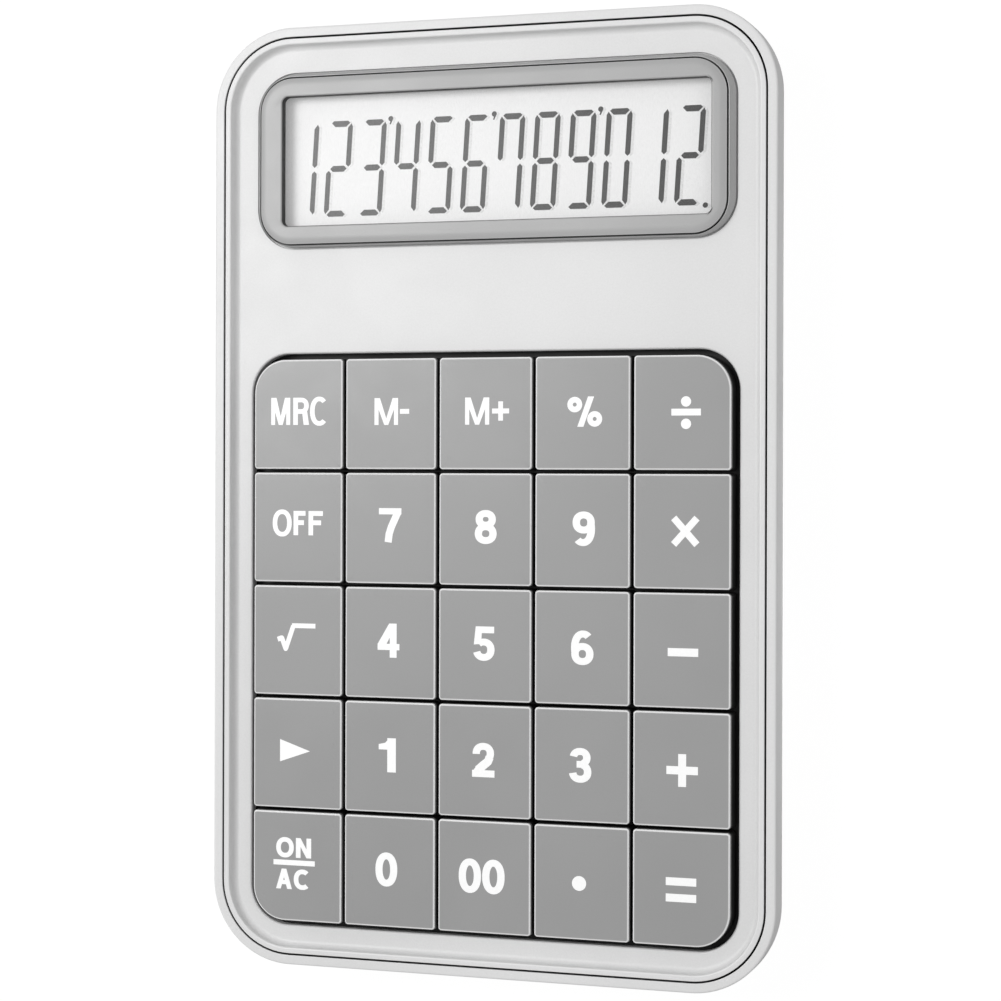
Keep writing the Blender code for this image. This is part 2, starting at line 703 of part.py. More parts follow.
def key_guide_plate():
    corners = ((2.0, 3), (2.0, 3), (8.8, 3), (8.8, 3))
    bm = sheet(PLATE_HALF_X, PLATE_Y, corners, (PLATE_Z, PLATE_TOP_Z))
    obj = new_object("key_guide_plate", bm, "black_plastic")
    bosses = bmesh.new()
    for place in boss_places():
        add_cylinder(bosses, place, STACK_BOSS_RADIUS, BOARD_TOP_Z + 0.2, PLATE_Z + 0.3, 16)
    boolean(obj, helper("plate_bosses", bosses), "UNION")
    holes = bmesh.new()
    reach = STEM_HOLE_HALF
    for row in range(ROWS):
        for column in range(COLUMNS):
            x, y = key_centre(row, column)
            low = (x - reach, y - reach, PLATE_Z - 1)
            add_box(holes, low, (x + reach, y + reach, PLATE_TOP_Z + 1))
    for place in boss_places():
        add_cylinder(holes, place, PILOT_RADIUS, BOARD_TOP_Z - 1, PLATE_Z + 0.3, 12)
    for place in both_sides(PLATE_SCREWS):
        add_cylinder(holes, place, SMALL_PILOT_RADIUS, PLATE_Z - 1, PLATE_TOP_Z + 1, 12)
    boolean(obj, helper("plate_holes", holes), "DIFFERENCE")


def rubber_key_mat():
    bm = sheet(MAT_HALF_X, MAT_Y, (2.0, 3), (MAT_Z, MAT_TOP_Z))
    obj = new_object("rubber_key_mat", bm, "silicone")
    domes = bmesh.new()
    hollows = bmesh.new()
    base, top = DOME_BASE_RADIUS, DOME_TOP_RADIUS
    for row in range(ROWS):
        for column in range(COLUMNS):
            place = key_centre(row, column)
            add_cylinder(domes, place, base, MAT_TOP_Z - 0.2, DOME_TOP_Z, 12, top)
            low, high = MAT_Z - 0.3, DOME_TOP_Z - DOME_CROWN
            add_cylinder(hollows, place, base - DOME_WALL, low, high, 12, top - DOME_WALL)
    for place in boss_places():
        add_cylinder(hollows, place, STACK_BOSS_HOLE, MAT_Z - 1, MAT_TOP_Z + 1, 12)
    boolean(obj, helper("mat_domes", domes), "UNION")
    boolean(obj, helper("mat_hollows", hollows), "DIFFERENCE")


# ---------------------------------------------------------------- electronics


def circuit_board():
    bm = sheet(BOARD_HALF_X, BOARD_Y, (3.0, 3), (BOARD_Z, BOARD_TOP_Z))
    obj = new_object("circuit_board", bm, "board_laminate")
    holes = bmesh.new()
    for place in boss_places():
        add_cylinder(holes, place, PILOT_RADIUS, BOARD_Z - 1, BOARD_TOP_Z + 1, 12)
    boolean(obj, helper("board_holes", holes), "DIFFERENCE")


def processor_blob():
    """Drop of black epoxy over the bare chip, on the board's underside."""
    radius, height = 6.5, 1.25
    profile = [(0, 0)]
    for step in range(1, 5):
        angle = math.pi / 2 * step / 4
        profile.append((radius * math.sin(angle), height * (1 - math.cos(angle))))
    profile.append((0, height))
    new_object("processor_blob", lathe(profile, 24), "epoxy", (0, -4.8, BOARD_Z - 0.05 - height))


def ceramic_capacitor():
    half = (1.6, 0.8)
    rings = [outline(half, (0.1, 1), z) for z in (0.0, 1.1)]
    new_object("ceramic_capacitor", loft(rings), "ceramic", (7.6, 12.6, BOARD_Z - 1.15))


def coin_cell():
    low, high = CELL_Z
    height = high - low
    profile = [
        (0, 0),
        (CELL_RADIUS - 0.3, 0),
        (CELL_RADIUS, 0.3),
        (CELL_RADIUS, height - 0.9),
        (CELL_RADIUS - 0.35, height - 0.55),
        (CELL_RADIUS - 1.1, height - 0.5),
        (CELL_RADIUS - 1.3, height),
        (0, height),
    ]
    new_object("coin_cell", lathe(profile, 40), "steel", (0, POCKET_Y, low))


def battery_negative_spring():
    """Leaf that presses on the cell from the pocket's roof, with a solder tab on top of the roof."""
    path = [
        (43.0, TAB_Z),
        (38.9, TAB_Z),
        (38.6, TAB_Z - 0.3),
        (38.6, 6.2),
        (38.9, 5.95),
        (42.0, 5.95),
        (46.0, 5.66),
        (48.0, 5.66),
        (52.0, 6.0),
    ]
    bm = strip_across_x(path, CONTACT_THICKNESS, -2.4, 2.4)
    new_object("battery_negative_spring", bm, "nickel")


def battery_positive_clip():
    """Strip beside the cell's rim, bent over the top of the pocket as a solder tab."""
    path = [(10.35, 2.9), (10.3, 5.0), (10.35, TAB_Z - 0.3), (10.1, TAB_Z), (7.6, TAB_Z)]
    bm = strip_across_y(path, CONTACT_THICKNESS, POCKET_Y - 2.4, POCKET_Y + 2.4)
    new_object("battery_positive_clip", bm, "nickel")


def battery_lead(name, material, points):
    """Insulated wire along a smooth path."""
    data = bpy.data.curves.new(name, "CURVE")
    data.dimensions = "3D"
    data.bevel_depth = WIRE_RADIUS * MM
    data.bevel_resolution = 1
    data.resolution_u = 5
    data.use_fill_caps = True
    spline = data.splines.new("BEZIER")
    spline.bezier_points.add(len(points) - 1)
    for knot, point in zip(spline.bezier_points, points):
        knot.co = Vector(point) * MM
        knot.handle_left_type = "AUTO"
        knot.handle_right_type = "AUTO"
    data.materials.append(finish(material))
    obj = bpy.data.objects.new(name, data)
    bpy.context.scene.collection.objects.link(obj)
    obj.parent = bpy.data.objects["calculator"]


def battery_leads():
    end = [
        (13.0, 34.2, 7.75),
        (19.6, 31.4, 7.1),
        (25.4, 28.0, 6.2),
        (26.4, 24.4, 6.1),
        (25.6, 20.0, 5.95),
    ]
    red = [(7.0, 47.0, 7.72), (6.6, 40.5, 7.7), *end]
    black = [(-3.0, 41.0, 7.72), (-5.6, 38.6, 7.7), *[(-x, y, z) for x, y, z in end]]
    battery_lead("battery_lead_red", "red_wire", red)
    battery_lead("battery_lead_black", "black_wire", black)


def battery_door():
    """Door in the back: two tongues hook under the case and a latch holds the other end."""
    origin_y, origin_z = DOOR_HINGE_Y, BACK_Z
    middle = (0, POCKET_Y - origin_y)
    heights = (BACK_Z - origin_z, DOOR_TOP_Z - origin_z)
    rings = [outline(DOOR_HALF, (DOOR_CORNER, 3), z, middle) for z in heights]
    obj = new_object("battery_door", loft(rings), "case_plastic", (0, origin_y, origin_z))
    bm = bmesh.new()
    for side in (-1, 1):
        low_x, high_x = sorted(side * x for x in TONGUE_X)
        for low, high in (TONGUE_ROOT, TONGUE_TIP):
            add_box(bm, (low_x, *low), (high_x, *high))
    add_box(bm, *LATCH_ROOT)
    add_box(bm, *LATCH_TIP)
    catches = helper("door_catches", bm)
    boolean(obj, catches, "UNION")
    grooves = bmesh.new()
    for count in range(GRIP_GROOVES):
        y = GRIP_FIRST_Y + GRIP_PITCH * count
        low = (-GRIP_HALF[0], y - GRIP_HALF[1], BACK_Z - 1)
        add_box(grooves, low, (GRIP_HALF[0], y + GRIP_HALF[1], BACK_Z + GRIP_DEPTH))
    boolean(obj, helper("door_grip_grooves", grooves), "DIFFERENCE")


# ---------------------------------------------------------------- fasteners and feet


def screw(name, place, head_z, head, shank):
    """Cross-head screw that points up. head and shank are (radius, length) either side of head_z."""
    head_radius, head_height = head
    shank_radius, shank_length = shank
    profile = [
        (0, -head_height),
        (head_radius - 0.4, -head_height),
        (head_radius, -head_height + 0.35),
        (head_radius, 0),
        (shank_radius, 0),
        (shank_radius, shank_length - 0.6),
        (0, shank_length),
    ]
    obj = new_object(name, lathe(profile, 14), "steel", (*place, head_z))
    bm = bmesh.new()
    arm, width = head_radius * 0.62, 0.28
    add_box(bm, (-arm, -width, -head_height - 0.5), (arm, width, -head_height + 0.55))
    add_box(bm, (-width, -arm, -head_height - 0.5), (width, arm, -head_height + 0.54))
    cutter = helper(name + "_recess", bm)
    cutter.location = obj.location
    modifier = obj.modifiers.new("recess", "BOOLEAN")
    modifier.operation = "DIFFERENCE"
    modifier.solver = "EXACT"
    modifier.use_self = True
    modifier.object = cutter


def all_screws():
    names = ("left", "right")
    for name, place in zip(names, both_sides(CASE_SCREWS_TOP)):
        screw("case_screw_top_" + name, place, TOP_WELL_Z - 0.1, CASE_SCREW_HEAD, (SCREW_RADIUS, 7.2))
    for name, place in zip(names, both_sides(CASE_SCREWS_BOTTOM)):
        head_z = BOTTOM_WELL_Z - 0.1
        screw("case_screw_bottom_" + name, place, head_z, CASE_SCREW_HEAD, (SCREW_RADIUS, 6.0))
    for end, place_pair in zip(("upper", "lower"), BOARD_SCREWS):
        for name, place in zip(names, both_sides(place_pair)):
            full_name = f"board_screw_{end}_{name}"
            screw(full_name, place, BOARD_Z - 0.1, BOARD_SCREW_HEAD, (SCREW_RADIUS, 4.5))
    small = SMALL_SCREW_RADIUS
    for name, place in zip(names, both_sides(PLATE_SCREWS)):
        screw("guide_plate_screw_" + name, place, PLATE_Z - 0.1, SMALL_SCREW_HEAD, (small, 2.7))
    for name, place in zip(names, both_sides(RETAINER_SCREWS)):
        screw("retainer_screw_" + name, place, RETAINER_Z[0] - 0.1, SMALL_SCREW_HEAD, (small, 3.1))


def all_feet():
    profile = [
        (0, 0),
        (FOOT_RADIUS - 0.35, 0),
        (FOOT_RADIUS, 0.35),
        (FOOT_RADIUS, FOOT_TOP_Z),
        (0, FOOT_TOP_Z),
    ]
    for end, side_y in (("front", -1), ("back", 1)):
        for name, side_x in (("left", -1), ("right", 1)):
            place = (side_x * FOOT_PLACE[0], side_y * FOOT_PLACE[1], 0)
            new_object(f"rubber_foot_{end}_{name}", lathe(profile, 24), "foot_rubber", place)


def main():
    clear_scene()
    assembly = bpy.data.objects.new("calculator", None)
    bpy.context.scene.collection.objects.link(assembly)
    rear_case()
    front_cover()
    display_bezel()
    display_lens()
    lcd_glass()
    lcd_reflector()
    lcd_retainer()
    lcd_ribbon_cable()
    all_keys()
    key_guide_plate()
    rubber_key_mat()
    circuit_board()
    processor_blob()
    ceramic_capacitor()
    coin_cell()
    battery_negative_spring()
    battery_positive_clip()
    battery_leads()
    battery_door()
    all_screws()
    all_feet()


main()
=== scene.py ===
"""Looks of the pocket calculator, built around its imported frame.

Lengths are in millimetres, and new_piece() turns them into metres. X is across the calculator, +Y points
to the display end and Z is up. Places and outer sizes come from the frame's own boxes.
"""

import math

import bmesh
import bpy
from mathutils import Matrix, Vector
from mathutils.geometry import delaunay_2d_cdt


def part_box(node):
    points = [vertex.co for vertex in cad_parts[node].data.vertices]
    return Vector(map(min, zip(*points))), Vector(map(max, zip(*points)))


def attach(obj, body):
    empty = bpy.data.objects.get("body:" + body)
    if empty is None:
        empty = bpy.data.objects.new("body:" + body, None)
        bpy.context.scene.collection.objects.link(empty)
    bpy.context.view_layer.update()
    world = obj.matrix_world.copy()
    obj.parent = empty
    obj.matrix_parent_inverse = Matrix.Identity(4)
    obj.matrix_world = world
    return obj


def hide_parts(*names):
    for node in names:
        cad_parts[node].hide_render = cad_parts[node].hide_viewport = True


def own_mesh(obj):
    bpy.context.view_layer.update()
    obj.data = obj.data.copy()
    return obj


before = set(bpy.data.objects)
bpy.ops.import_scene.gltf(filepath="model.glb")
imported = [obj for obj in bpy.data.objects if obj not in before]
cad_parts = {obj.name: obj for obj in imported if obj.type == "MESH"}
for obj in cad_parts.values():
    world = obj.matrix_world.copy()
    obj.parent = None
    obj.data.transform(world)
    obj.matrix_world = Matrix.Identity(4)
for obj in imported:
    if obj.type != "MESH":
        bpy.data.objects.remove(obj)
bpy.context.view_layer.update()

MM = 0.001
CASE = "case"
DOOR = "battery_door"


def mm_box(node):
    """Lowest and highest corner of a CAD node, in millimetres."""
    low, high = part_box(node)
    return low / MM, high / MM


def half_and_middle(node):
    """Half size and middle of a CAD node."""
    low, high = mm_box(node)
    return (high - low) / 2, (high + low) / 2


def place_of(node):
    """Middle of a CAD node across X and Y."""
    return half_and_middle(node)[1].xy


def pair(stem):
    """Places of the left and the right node of a pair."""
    return [place_of(f"{stem}_{side}") for side in ("left", "right")]


# ---------------------------------------------------------------- sizes

# Whole calculator, and how cutters and meshes are made.
BODY_HALF = half_and_middle("rear_case")[0]
BODY_CORNER = 12.7
BACK_Z, RIM_Z = (corner.z for corner in mm_box("rear_case"))
CORNER_STEPS = 20
THROUGH = 1.0
MOUTH_OVERSHOOT = 0.004
BLOCK_ROUNDING = 0.2
SHARP_ANGLE = math.radians(35)

# Rear case. A bore or pocket with two heights holds its lower and its upper end.
RIM_WIDTH = 1.46
RIM_ROUNDING = 0.4
SEAM_ROUNDING = 0.09
SIDE_HEIGHT = 3.2
BACK_SWEEP = 9.0
LEDGE_Z = 7.1
LEDGE_INSET = 2.1
FLOOR_Z = 2.2
FLOOR_SWEEP = 7.8
CASE_BOSS_RADIUS = 3.3
TOP_BOSS_Z = 5.2
BOTTOM_BOSS_GAP = 0.3
HEAD_BORE_RADIUS = 2.3
HEAD_BORE_Z = {"top": 3.4, "bottom": 2.6}
SHANK_BORE_RADIUS = 1.15
SHANK_BORE_Z = (2.5, 6.0)
FOOT_GAP = 0.3
FOOT_SEAT_Z = 1.3
CELL_BLOCK_HALF = (14.5, 15.6)
CELL_BLOCK_SHIFT = 0.2
CELL_BLOCK_CORNER = 3.0
CELL_BLOCK_Z = 7.2
CELL_GAP = 0.35
CELL_POCKET_Z = (1.0, 6.4)

# Battery door, as the plate without its tongues and latch.
DOOR_HALF = (half_and_middle(DOOR)[0].x, 12.75)
DOOR_PLACE = (0.0, 47.0)
DOOR_CORNER = 1.8
DOOR_Z = (mm_box(DOOR)[0].z, 1.75)
DOOR_GAP = 0.25
DOOR_SEAT_Z = 1.95
GRIP_HALF = (5.0, 0.3)
GRIP_DEPTH = 0.4
GRIP_FIRST_Y = 38.2
GRIP_PITCH = 1.6

# Front cover. A boss is (radius, lower end), and a pilot hole is (radius, lower end, upper end).
COVER_INSET = BODY_HALF.x - half_and_middle("front_cover")[0].x
COVER_WALL = 1.5
LAND_WIDTH = 0.85
LAND_ROUNDING = 0.25
DISH_DEPTH = 1.55
DISH_DRAFT = 0.2
DISH_FILLET = 0.9
PANEL_Z = RIM_Z - DISH_DEPTH
PANEL_THICKNESS = 1.5
SKIRT_Z = 7.4
CASE_SCREW_BOSS = (2.6, 5.5)
PLATE_SCREW_BOSS = (1.9, mm_box("key_guide_plate")[1].z + 0.15)
RETAINER_SCREW_BOSS = (1.75, 9.7)
BOSS_BITE = 0.3
RIB_Z = 8.3
CASE_PILOT = (1.15, 4.0, 10.8)
SMALL_PILOT = (0.95, 8.0, PANEL_Z - 0.8)
PILOT_SEGMENTS = 24

# Keys and the well that they stand in.
KEY_DRAFT = 0.15
KEY_EDGE = 0.3
KEY_CORNER = 0.5
KEY_SKIRT = 3.1
KEY_WALL = 1.1
KEY_TOP_THICKNESS = 1.2
STEM_HALF = 3.0
BARB_REACH = 0.75
BARB_Z = 8.4
FIELD_CORNER = 5.2
KEY_WELL_GAP = 0.95
KEY_WELL_CORNER = 6.1
WELL_LIP = 0.35

# Bezel. Its sides lean in by BEZEL_DRAFT across X and Y, and its top is moved by -BEZEL_LEAN.
BEZEL_DRAFT = (0.75, 0.4)
BEZEL_LEAN = Vector((0.1, 0.18))
BEZEL_FOOT_INSET = Vector((0.27, 0.14))
BEZEL_FOOT_SHIFT = Vector((0.2, -0.04))
BEZEL_CROWN = (0.8, 0.2)
BEZEL_CORNER = 6.1
BEZEL_SEAT = 0.45
BEZEL_GAP = 0.25
TRIM_GROOVE = 0.26
TRIM_DEPTH = 0.9
WINDOW_HALF = (34.05, 10.05)
WINDOW_OFFSET = Vector((0.75, -0.25))
WINDOW_CORNER = 1.0
WINDOW_LIP = 0.2
LENS_CORNER = 3.5
REBATE_HALF = (35.85, 11.25)
REBATE_CORNER = 3.7
REBATE_Z = 13.0
COLLAR_HALF = (36.7, 11.9)
COLLAR_CORNER = 4.4

# Printing, and how deep the painted shade reaches down the seams and down the sides of the keys.
INK_THICKNESS = 0.035
SEAM_SHADE_DEPTH = 0.45
KEY_SHADE_DEPTH = 1.0

# Rubber mat.
MAT_SHEET = 0.5
MAT_CORNER = 2.5
MAT_HOLE = 2.8
DOME_BASE = 4.2
DOME_TOP = 2.6
DOME_WALL = 0.5
DOME_ROOF = 0.8
KEY_PITCH = place_of("key_5") - place_of("key_1")
FIELD_Y = place_of("key_5").y

# Case screws. The head is (radius, height).
SCREW_HEAD = (1.9, 1.3)
SCREW_SHANK = 1.0
THREAD_PITCH = 0.55
THREAD_DEPTH = 0.22


# ---------------------------------------------------------------- mesh helpers


def outline(half, corners, z, centre=(0, 0)):
    """Rounded rectangle at height z, anticlockwise. corners is one radius, or four from +X+Y on."""
    if not isinstance(corners, (list, tuple)):
        corners = (corners,) * 4
    points = []
    for quarter, radius in enumerate(corners):
        radius = max(radius, 0.03)
        side_x = 1 if quarter in (0, 3) else -1
        side_y = 1 if quarter in (0, 1) else -1
        corner_x = centre[0] + side_x * (half[0] - radius)
        corner_y = centre[1] + side_y * (half[1] - radius)
        for step in range(CORNER_STEPS + 1):
            angle = math.radians(90 * (quarter + step / CORNER_STEPS))
            points.append(
                (corner_x + radius * math.cos(angle), corner_y + radius * math.sin(angle), z)
            )
    return points


def disc(x, y, radius, steps=24):
    """Points of a circle."""
    angles = [2 * math.pi * i / steps for i in range(steps)]
    return [Vector((x + radius * math.cos(a), y + radius * math.sin(a))) for a in angles]


def arc_wear_and_light(corners, steps, shaded=(), clean=()):
    """Edge rubbing and painted light for each point of rounded(): up to 1 in a bend, -1 where shade is
    painted and 0 at the clean ones.
    """
    wear_and_painted_light = []
    for i, (_, _, radius) in enumerate(corners):
        bends = radius and 0 < i < len(corners) - 1
        if bends and i not in shaded + clean:
            wear_and_painted_light += [math.sin(math.pi * step / steps) for step in range(steps + 1)]
        else:
            wear_and_painted_light += [-1.0 if i in shaded else 0.0] * (steps + 1 if bends else 1)
    return wear_and_painted_light


def rounded(corners, closed=False, steps=4):
    """Points of a path of (u, v, radius) corners, each turned into an arc of that radius."""
    points = []
    count = len(corners)
    for i, (u, v, radius) in enumerate(corners):
        here = Vector((u, v))
        if radius == 0 or (not closed and i in (0, count - 1)):
            points.append(here)
            continue
        before = (Vector(corners[i - 1][:2]) - here).normalized()
        after = (Vector(corners[(i + 1) % count][:2]) - here).normalized()
        half_angle = before.angle(after) / 2
        centre = here + (before + after).normalized() * radius / math.sin(half_angle)
        start = here + before * radius / math.tan(half_angle) - centre
        turn = math.pi - 2 * half_angle
        if before.x * after.y - before.y * after.x > 0:
            turn = -turn
        for step in range(steps + 1):
            angle = turn * step / steps
            points.append(centre + Matrix.Rotation(angle, 2) @ start)
    return points


def loft(rings, closed=False, wear_and_painted_light=()):
    """A bmesh skinned through rings of equally many points: capped at both ends, or joined into a frame.

    The optional values give, for each of the first rings, how rubbed it is, which also lightens it as a
    painted highlight, and below 0 how much painted shade it gets.
    """
    bm = bmesh.new()
    layer = bm.verts.layers.float.new("wear_and_painted_light") if wear_and_painted_light else None
    loops = [[bm.verts.new(point) for point in ring] for ring in rings]
    for loop, amount in zip(loops, wear_and_painted_light):
        for vert in loop:
            vert[layer] = amount
    pairs = list(zip(loops, loops[1:]))
    if closed:
        pairs.append((loops[-1], loops[0]))
    else:
        bm.faces.new(loops[0])
        bm.faces.new(loops[-1])
    skin(bm, pairs)
    return bm


def skin(bm, pairs):
    """Adds the faces between pairs of loops of equally many vertices."""
    for low, high in pairs:
        for i in range(len(low)):
            j = (i + 1) % len(low)
            bm.faces.new((low[i], low[j], high[j], high[i]))


def lathe(profile, segments, place=(0, 0)):
    """A bmesh turned about an upright axis from (radius, z) points. Its ends lie on the axis."""
    bm = bmesh.new()
    rings = []
    for radius, z in profile[1:-1]:
        rings.append([bm.verts.new((p.x, p.y, z)) for p in disc(*place[:2], radius, segments)])
    for pole, ring in ((profile[0], rings[0]), (profile[-1], rings[-1])):
        tip = bm.verts.new((place[0], place[1], pole[1]))
        for i in range(segments):
            bm.faces.new((tip, ring[i], ring[(i + 1) % segments]))
    skin(bm, zip(rings, rings[1:]))
    return bm


def turned(path, steps, segments, place):
    """A bmesh turned from a path of (radius, z, rounding) corners."""
    return lathe([tuple(p) for p in rounded(path, steps=steps)], segments, place)


def join(*parts):
    """One bmesh that holds several."""
    whole = bmesh.new()
    for part in parts:
        mesh = bpy.data.meshes.new("joined")
        part.to_mesh(mesh)
        whole.from_mesh(mesh)
        part.free()
        bpy.data.meshes.remove(mesh)
    return whole


def block(x, y, z):
    """A bmesh box between pairs of limits, its upright edges rounded."""
    half = ((x[1] - x[0]) / 2, (y[1] - y[0]) / 2)
    centre = ((x[1] + x[0]) / 2, (y[1] + y[0]) / 2)
    return loft([outline(half, BLOCK_ROUNDING, level, centre) for level in z])


def both_sides(x, y, z):
    """The same block on the left and on the right."""
    return [block((-x[1], -x[0]), y, z), block(x, y, z)]


def rounded_sheet(half, middle, corner, levels, edges, steps=4):
    """A bmesh sheet between two levels, with an edge radius for each."""
    low, high = levels
    path = [(1.0, low, 0), (0, low, edges[0]), (0, high, edges[1]), (1.0, high, 0)]
    insets = rounded(path, steps=steps)
    return loft([outline((half[0] - p.x, half[1] - p.x), corner - p.x, p.y, middle) for p in insets])


def tube(place, radius, low, high, segments=48):
    """A bmesh of an upright cylinder."""
    return lathe([(0, low), (radius, low), (radius, high), (0, high)], segments, place)


def new_object(name, data):
    """An object in the scene."""
    obj = bpy.data.objects.new(name, data)
    bpy.context.scene.collection.objects.link(obj)
    return obj


def new_piece(name, bm, material, body, node=None):
    """A piece from a bmesh in millimetres that rides on a body and stands for the CAD node it replaces."""
    bmesh.ops.recalc_face_normals(bm, faces=bm.faces)
    bmesh.ops.scale(bm, vec=(MM, MM, MM), verts=bm.verts)
    mesh = bpy.data.meshes.new(name)
    bm.to_mesh(mesh)
    bm.free()
    mesh.materials.append(material)
    obj = new_object(name, mesh)
    smooth(obj)
    if body:
        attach(obj, body)
    if node:
        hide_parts(node)
    return obj


def smooth(obj):
    """Rounded faces shaded smooth, flat faces kept flat by weighting the normals with face size."""
    obj.data.shade_smooth()
    obj.data.set_sharp_from_angle(angle=SHARP_ANGLE)
    modifier = obj.modifiers.new("weighted", "WEIGHTED_NORMAL")
    modifier.keep_sharp = True
    modifier.weight = 80


def carve(obj, bm, operation="DIFFERENCE"):
    """Applies a Boolean of a bmesh in millimetres to a piece."""
    cutter = new_piece("cutter", bm, obj.data.materials[0], None)
    cutter.modifiers.clear()
    obj.modifiers.clear()
    modifier = obj.modifiers.new("carve", "BOOLEAN")
    modifier.operation = operation
    modifier.solver = "EXACT"
    modifier.use_self = True
    modifier.object = cutter
    graph = bpy.context.evaluated_depsgraph_get()
    mesh = bpy.data.meshes.new_from_object(obj.evaluated_get(graph))
    old = obj.data
    obj.modifiers.clear()
    obj.data = mesh
    mesh.name = old.name
    bpy.data.meshes.remove(old)
    bpy.data.objects.remove(cutter)
    smooth(obj)


# ---------------------------------------------------------------- materials


class Shader:
    """Node material under construction. Its texture space is the row frame in millimetres."""

    def __init__(self, name):
        self.material = bpy.data.materials.new(name)
        self.material.use_nodes = True
        self.tree = self.material.node_tree
        self.main = self.tree.nodes["Principled BSDF"]
        self.place = self.scaled(self.node("ShaderNodeTexCoord").outputs["Object"], 1 / MM)

    def node(self, kind, inputs=None, **settings):
        """A new node with its settings and its inputs."""
        made = self.tree.nodes.new(kind)
        for key, value in settings.items():
            setattr(made, key, value)
        for key, value in (inputs or {}).items():
            self.feed(made.inputs[key], value)
        return made

    def feed(self, socket, value):
        """Links a socket to an output, or sets its value."""
        if isinstance(value, bpy.types.NodeSocket):
            self.tree.links.new(value, socket)
        elif socket.type == "RGBA":
            socket.default_value = (*value, 1.0)
        else:
            socket.default_value = value

    def set(self, **values):
        """Feeds inputs of the Principled shader. Underscores in the names stand for spaces."""
        for key, value in values.items():
            self.feed(self.main.inputs[key.replace("_", " ")], value)

    def glow(self, strength):
        self.set(Emission_Color=grey(1), Emission_Strength=strength)

    def scaled(self, vector, factor):
        inputs = {0: vector, "Scale": factor}
        return self.node("ShaderNodeVectorMath", inputs, operation="SCALE").outputs[0]

    def noise(self, size, detail=2.0, roughness=0.5, stretch=None):
        """Noise whose features are about size millimetres across, from 0 to 1."""
        source = self.place
        if stretch:
            source = self.node("ShaderNodeMapping", {"Vector": source, "Scale": stretch}).outputs[0]
        inputs = {"Vector": source, "Scale": 1 / size, "Detail": detail, "Roughness": roughness}
        return self.node("ShaderNodeTexNoise", inputs).outputs["Fac"]

    def math(self, operation, a, b, clamp=False):
        inputs = {0: a, 1: b}
        return self.node("ShaderNodeMath", inputs, operation=operation, use_clamp=clamp).outputs[0]

    def spread(self, source, low, high, from_low=0.0, from_high=1.0):
        """Maps a range onto another."""
        inputs = {"Value": source, "From Min": from_low, "From Max": from_high, "To Min": low, "To Max": high}
        return self.node("ShaderNodeMapRange", inputs).outputs[0]

    def mix(self, factor, a, b):
        """Mixes two colours, each a tuple or a socket."""
        inputs = {"Factor": factor, 6: a, 7: b}
        return self.node("ShaderNodeMix", inputs, data_type="RGBA").outputs[2]

    def grained(self, noise, a, b, low=0.3, high=0.7):
        """Colour that runs from a to b as a noise runs from low to high."""
        return self.mix(self.spread(noise, 0.0, 1.0, low, high), a, b)

    def bump(self, height, strength, distance, **more):
        """Bump from a height from 0 to 1. distance is in millimetres."""
        inputs = {"Strength": strength, "Distance": distance * MM, "Height": height, **more}
        return self.node("ShaderNodeBump", inputs).outputs[0]

    def blend(self, share, a, b):
        """Mixes two shader nodes."""
        return self.node("ShaderNodeMixShader", {0: share, 1: a.outputs[0], 2: b.outputs[0]})

    def show(self, shader_node):
        """Makes a shader node the surface."""
        output = next(n for n in self.tree.nodes if n.type == "OUTPUT_MATERIAL")
        self.feed(output.inputs["Surface"], shader_node.outputs[0])


def grey(level):
    return (level, level, level)


def tinted(colour, factor):
    """A colour made darker, or lighter up to white."""
    return tuple(min(c * factor, 1.0) for c in colour)


# Near-black colour painted into seams, gaps and grooves as shade.
SEAM_SHADE = grey(0.02)


def moulded_plastic(name, colour, roughness, grain=0.28, depth=0.012, drift=0.03, edge_wear_and_highlight=0.1):
    """Spark-eroded plastic: fine grain, a slow drift of shade and gloss, rubbed edges lightened with a
    painted highlight, and seams darkened with painted shade.
    """
    shader = Shader(name)
    fine = shader.noise(grain, 3.0, 0.65)
    base = shader.grained(shader.noise(38.0, 3.0), tinted(colour, 1 - drift), tinted(colour, 1 + drift))
    shade = shader.scaled(base, shader.spread(fine, 1.0 - drift, 1.0 + drift, 0.25, 0.75))
    # A vertex value above 0 lowers roughness where edges are rubbed and lightens them as a painted highlight;
    # below 0 it paints near-black shade.
    wear_and_light = shader.node("ShaderNodeAttribute", attribute_name="wear_and_painted_light").outputs["Fac"]
    clean = shader.mix(shader.math("MAXIMUM", wear_and_light, 0.0), shade, tinted(colour, 1 + edge_wear_and_highlight))
    seam_shade = shader.math("MULTIPLY", wear_and_light, -1.0, clamp=True)
    gloss = shader.spread(shader.noise(9.0), roughness - 0.04, roughness + 0.04, 0.3, 0.7)
    waves = shader.bump(shader.noise(16.0, 1.0), 0.10, 0.25)
    shader.set(
        Base_Color=shader.mix(seam_shade, clean, SEAM_SHADE),
        Roughness=shader.math("SUBTRACT", gloss, shader.math("MULTIPLY", wear_and_light, 0.10)),
        Normal=shader.bump(fine, 0.5, depth, Normal=waves),
        IOR=1.5,
    )
    return shader.material


def clear_sheet(name, tint, roughness, strength):
    """Clear sheet: light passes straight through, and a share that grows at a slant is mirrored."""
    shader = Shader(name)
    through = shader.node("ShaderNodeBsdfTransparent", {"Color": tint})
    haze = shader.spread(shader.noise(6.0, 3.0), roughness * 0.6, roughness * 1.6)
    mirror = shader.node("ShaderNodeBsdfGlossy", {"Roughness": haze})
    slant = shader.node("ShaderNodeFresnel", {"IOR": 1.45}).outputs[0]
    shader.show(shader.blend(shader.math("MULTIPLY", slant, strength), through, mirror))
    shader.tree.nodes.remove(shader.main)
    return shader.material


